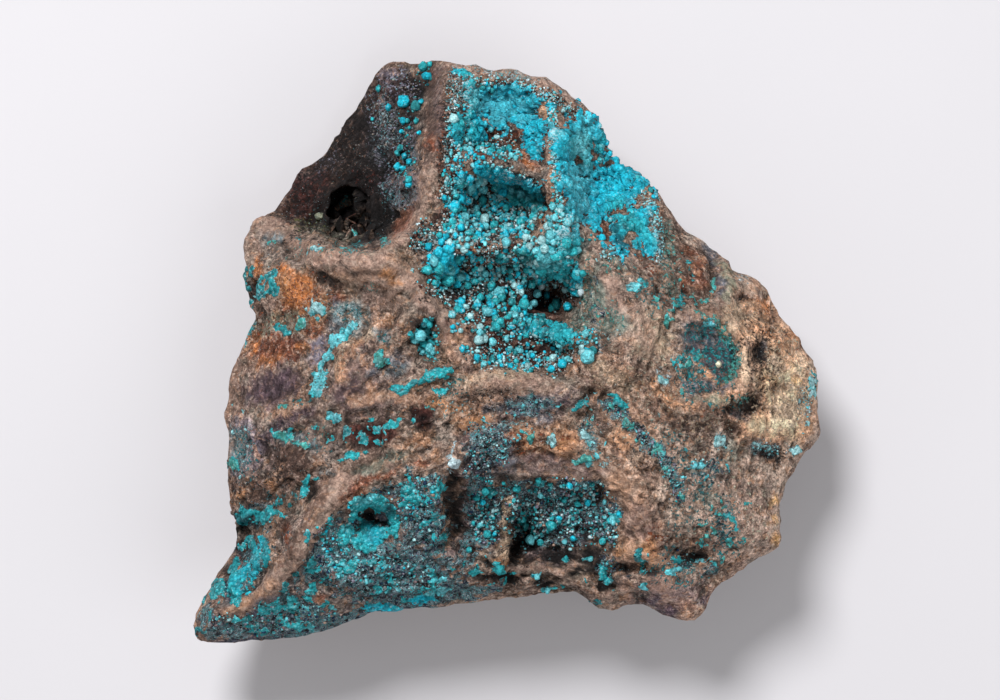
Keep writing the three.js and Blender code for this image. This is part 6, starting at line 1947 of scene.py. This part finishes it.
def scattered_marks(count, largest, marks, seed):
    """Small ovals at random in and round the marks."""
    pick = np.random.default_rng(seed)
    spots, _ = spots_in(marks, count, pick)
    ovals = []
    for x, y in spots:
        long, wide = pick.uniform(0.35, 1) * largest, pick.uniform(0.3, 0.8) * largest
        ovals.append((x, y, long, wide, pick.uniform(0, 180)))
    return ovals


def strays(stone, seat):
    """Small crusts on the open stone, with a white chip, a cream bead and an olive one."""
    patches = PATCHES + [
        (colour, scattered_marks(count, largest, marks, seed))
        for seed, (colour, count, largest, marks) in enumerate(SCATTERED)
    ]
    colours = [(colour, 1.0, marks) for colour, marks in patches]
    marks = [mark for _, marks in patches for mark in marks]
    crusts = film_mesh(
        stone, marks, "turquoise", colours, thickness=0.24, knob=0.75, seed=8, ragged=0.45, gappy=0.26,
        dust=0.2,
    )
    chip = film_mesh(stone, CHIP, "frost", thickness=0.06, knob=3.4, seed=9, ragged=0.1, gappy=0, dust=0)
    cream = placed(seat, [(34.8, -2.3, 0.62)], [("cream", 1)], seed=81, sunk=0.45, frost=(0, 0))
    olive = placed(seat, [(-31, 22.3, 0.75)], [("green_tan", 1)], seed=82, sunk=0.4, frost=(0.2, 0.3))
    return [crusts, chip, ball_mesh(np.vstack([cream, olive]))]


# Zones of fine druse: how many grains, the largest one's radius, colours and marks.
DRUSE = {
    "upper_druse": [
        (900, 0.24, SALT, [
            (-8.4, 42, 1.6, 4), (-9, 34, 1.2, 8), (-9, 24, 2, 5), (-12.6, 18.4, 3.4, 2.8, 20),
        ]),
        (420, 0.22, SALT, [(1, [(-8, 45), (-3, 44.2), (3, 43.6), (8, 41.4), (13, 38)])]),
        (420, 0.22, RIM_DRUSE, [
            (1.3, [(21, 27), (24.6, 23.6), (25.4, 19), (24.4, 14.6)]), (17, 15.4, 3, 1.2), (22.4, 25, 1.6, 2),
        ]),
        (600, 0.24, SALT, [
            (1.1, [(7.4, 41), (8, 34), (8.4, 27), (9, 20)]), (1, [(-6, 30.6), (0.6, 29), (6, 26.6)]),
            (0, 34, 4),
        ]),
        (2300, 0.26, SALT, [(-2, 21, 8, 6), (-4, 13, 9, 5), (-11, 9.6, 3.4, 1.6, -30), (-6, 7, 3)]),
        (1000, 0.24, SALT, [(3, -1.4, 8, 2.8, -6), (0, 4, 6, 2.4), (9, -1, 4, 2), (9, 9, 3, 2.4)]),
        (
            380, 0.2, [("lilac_grey", 3), ("grey_tan", 3), ("soot", 4), ("blue_grey", 3)],
            [(-19.6, 37, 2.6, 8, 14), (-17, 44, 3), (-16.4, 30, 2, 6)],
        ),
    ],
    "lower_druse": [
        (240, 0.24, SPECKLE, [(-2, -15.4, 3.6, 3.4), (-5.4, -12.4, 2, 1.4), (-4.4, -19, 2.6, 1.6)]),
        (1100, 0.3, SPECKLE + PALE_BLUES, [
            (6, -27, 10, 5.4), (-3.6, -27, 2, 6), (13, -22.6, 5, 1.6, -14), (17, -29, 2.6, 3.4),
        ]),
        (520, 0.3, SPECKLE, [
            (-28, -32, 5), (-21, -37.4, 10, 3.6, -4), (-14, -27, 3.4, 5.6, 14), (-17, -22.8, 5, 1.8, 20),
        ]),
        (330, 0.3, SPECKLE, [(-37, -44, 8, 3, -4), (-45, -44.6, 4, 1.6)]),
        (120, 0.22, RIM_DRUSE, [(43.4, -16.4, 2.6, 1, -20), (50, -8, 0.8, 2.6), (31.6, -18.4, 1.6, 0.8)]),
        (330, 0.26, SPECKLE, [
            (1.2, [(17, -9), (21, -12.4), (24, -16), (27, -19.4), (28.4, -25)]), (28.6, -35, 2), (17, -36, 2),
        ]),
    ],
}


def druse(seat, zones):
    """Fine druse strewn over the stone, whitish, blue and dark grains together."""
    grains = [
        strewn(seat, marks, count, (0.1, largest), colours, 90 + order, apart=0, bare=CLEAR, frost=(0.0, 0.2))
        for order, (count, largest, colours, marks) in enumerate(zones)
    ]
    return [ball_mesh(np.vstack(grains), CRUMBS_OF_CRUST)]


# The crusts: piece, the name of its mesh, what builds it, and the node it stands for, if any.
CRUSTS = [
    ("main_pocket_botryoids", "main_pocket", main_pocket, ["main_pocket_crust"]),
    ("dark_hollow_beads", "dark_hollow", dark_hollow, ["dark_hollow_crust"]),
    ("small_pit_beads", "small_pit", small_pit, ["small_pit_crust"]),
    ("blue_hole_lining", "blue_hole", blue_hole, ["blue_hole_crust"]),
    ("foot_crust_film", "foot", foot, ["foot_crust"]),
    ("lower_vug_druse", "lower_vug", lower_vug, ["lower_vug_crust"]),
    ("stray_crusts", "stray", strays, []),
]


def build_specimen():
    stone = fine_stone()
    dress_stone(stone)
    seat = Seat(stone)
    limonite = stone_material()
    velvet = crust_material()
    add_piece("limonite_stone", stone, limonite, "limonite", "limonite_matrix")
    for name, mesh_name, build, nodes in CRUSTS:
        add_piece(name, join_meshes(mesh_name, build(stone, seat)), velvet, "aurichalcite", *nodes)
    for name, zones in DRUSE.items():
        add_piece(name, join_meshes(name, druse(seat, zones)), velvet, "aurichalcite")


build_specimen()

# ---------------------------------------------------------------- floor, light and camera
FLOOR_HALF = 2.5
LENS_REACH = 0.9259
VIEW_MIDDLE = (-1.153 * MM, 0.165 * MM, 0.014)


def add_floor():
    bm = bmesh.new()
    bmesh.ops.create_grid(bm, x_segments=1, y_segments=1, size=FLOOR_HALF)
    floor = add_object("floor", mesh_from(bm, "floor"), floor_material())


def area_light(name, place, size, power):
    """A round lamp that points at the middle of the floor."""
    lamp = bpy.data.lights.new(name, "AREA")
    lamp.shape = "DISK"
    lamp.size = size
    lamp.energy = power
    lamp.color = (1, 1, 1)
    obj = bpy.data.objects.new(name, lamp)
    obj.location = place
    obj.rotation_mode = "QUATERNION"
    obj.rotation_quaternion = Vector(place).to_track_quat("Z", "Y")
    bpy.context.scene.collection.objects.link(obj)


def soft_world():
    world = bpy.data.worlds.new("studio")
    world.use_nodes = True
    background = world.node_tree.nodes["Background"]
    background.inputs["Color"].default_value = (1, 1, 1, 1)
    background.inputs["Strength"].default_value = 0.35
    bpy.context.scene.world = world
    bpy.context.scene.view_settings.view_transform = "Standard"


def add_camera():
    """A long lens that looks straight down."""
    camera = bpy.data.cameras.new("camera")
    camera.lens = 200
    camera.sensor_width = 36
    camera.clip_end = 10
    obj = bpy.data.objects.new("camera", camera)
    obj.location = (*VIEW_MIDDLE[:2], VIEW_MIDDLE[2] + LENS_REACH)
    bpy.context.scene.collection.objects.link(obj)
    bpy.context.scene.camera = obj


add_floor()
area_light("key", place=(-0.3, 0.6, 0.95), size=0.4, power=13.5)
area_light("fill", place=(0.7, -0.6, 1.1), size=1.2, power=5)
soft_world()
add_camera()
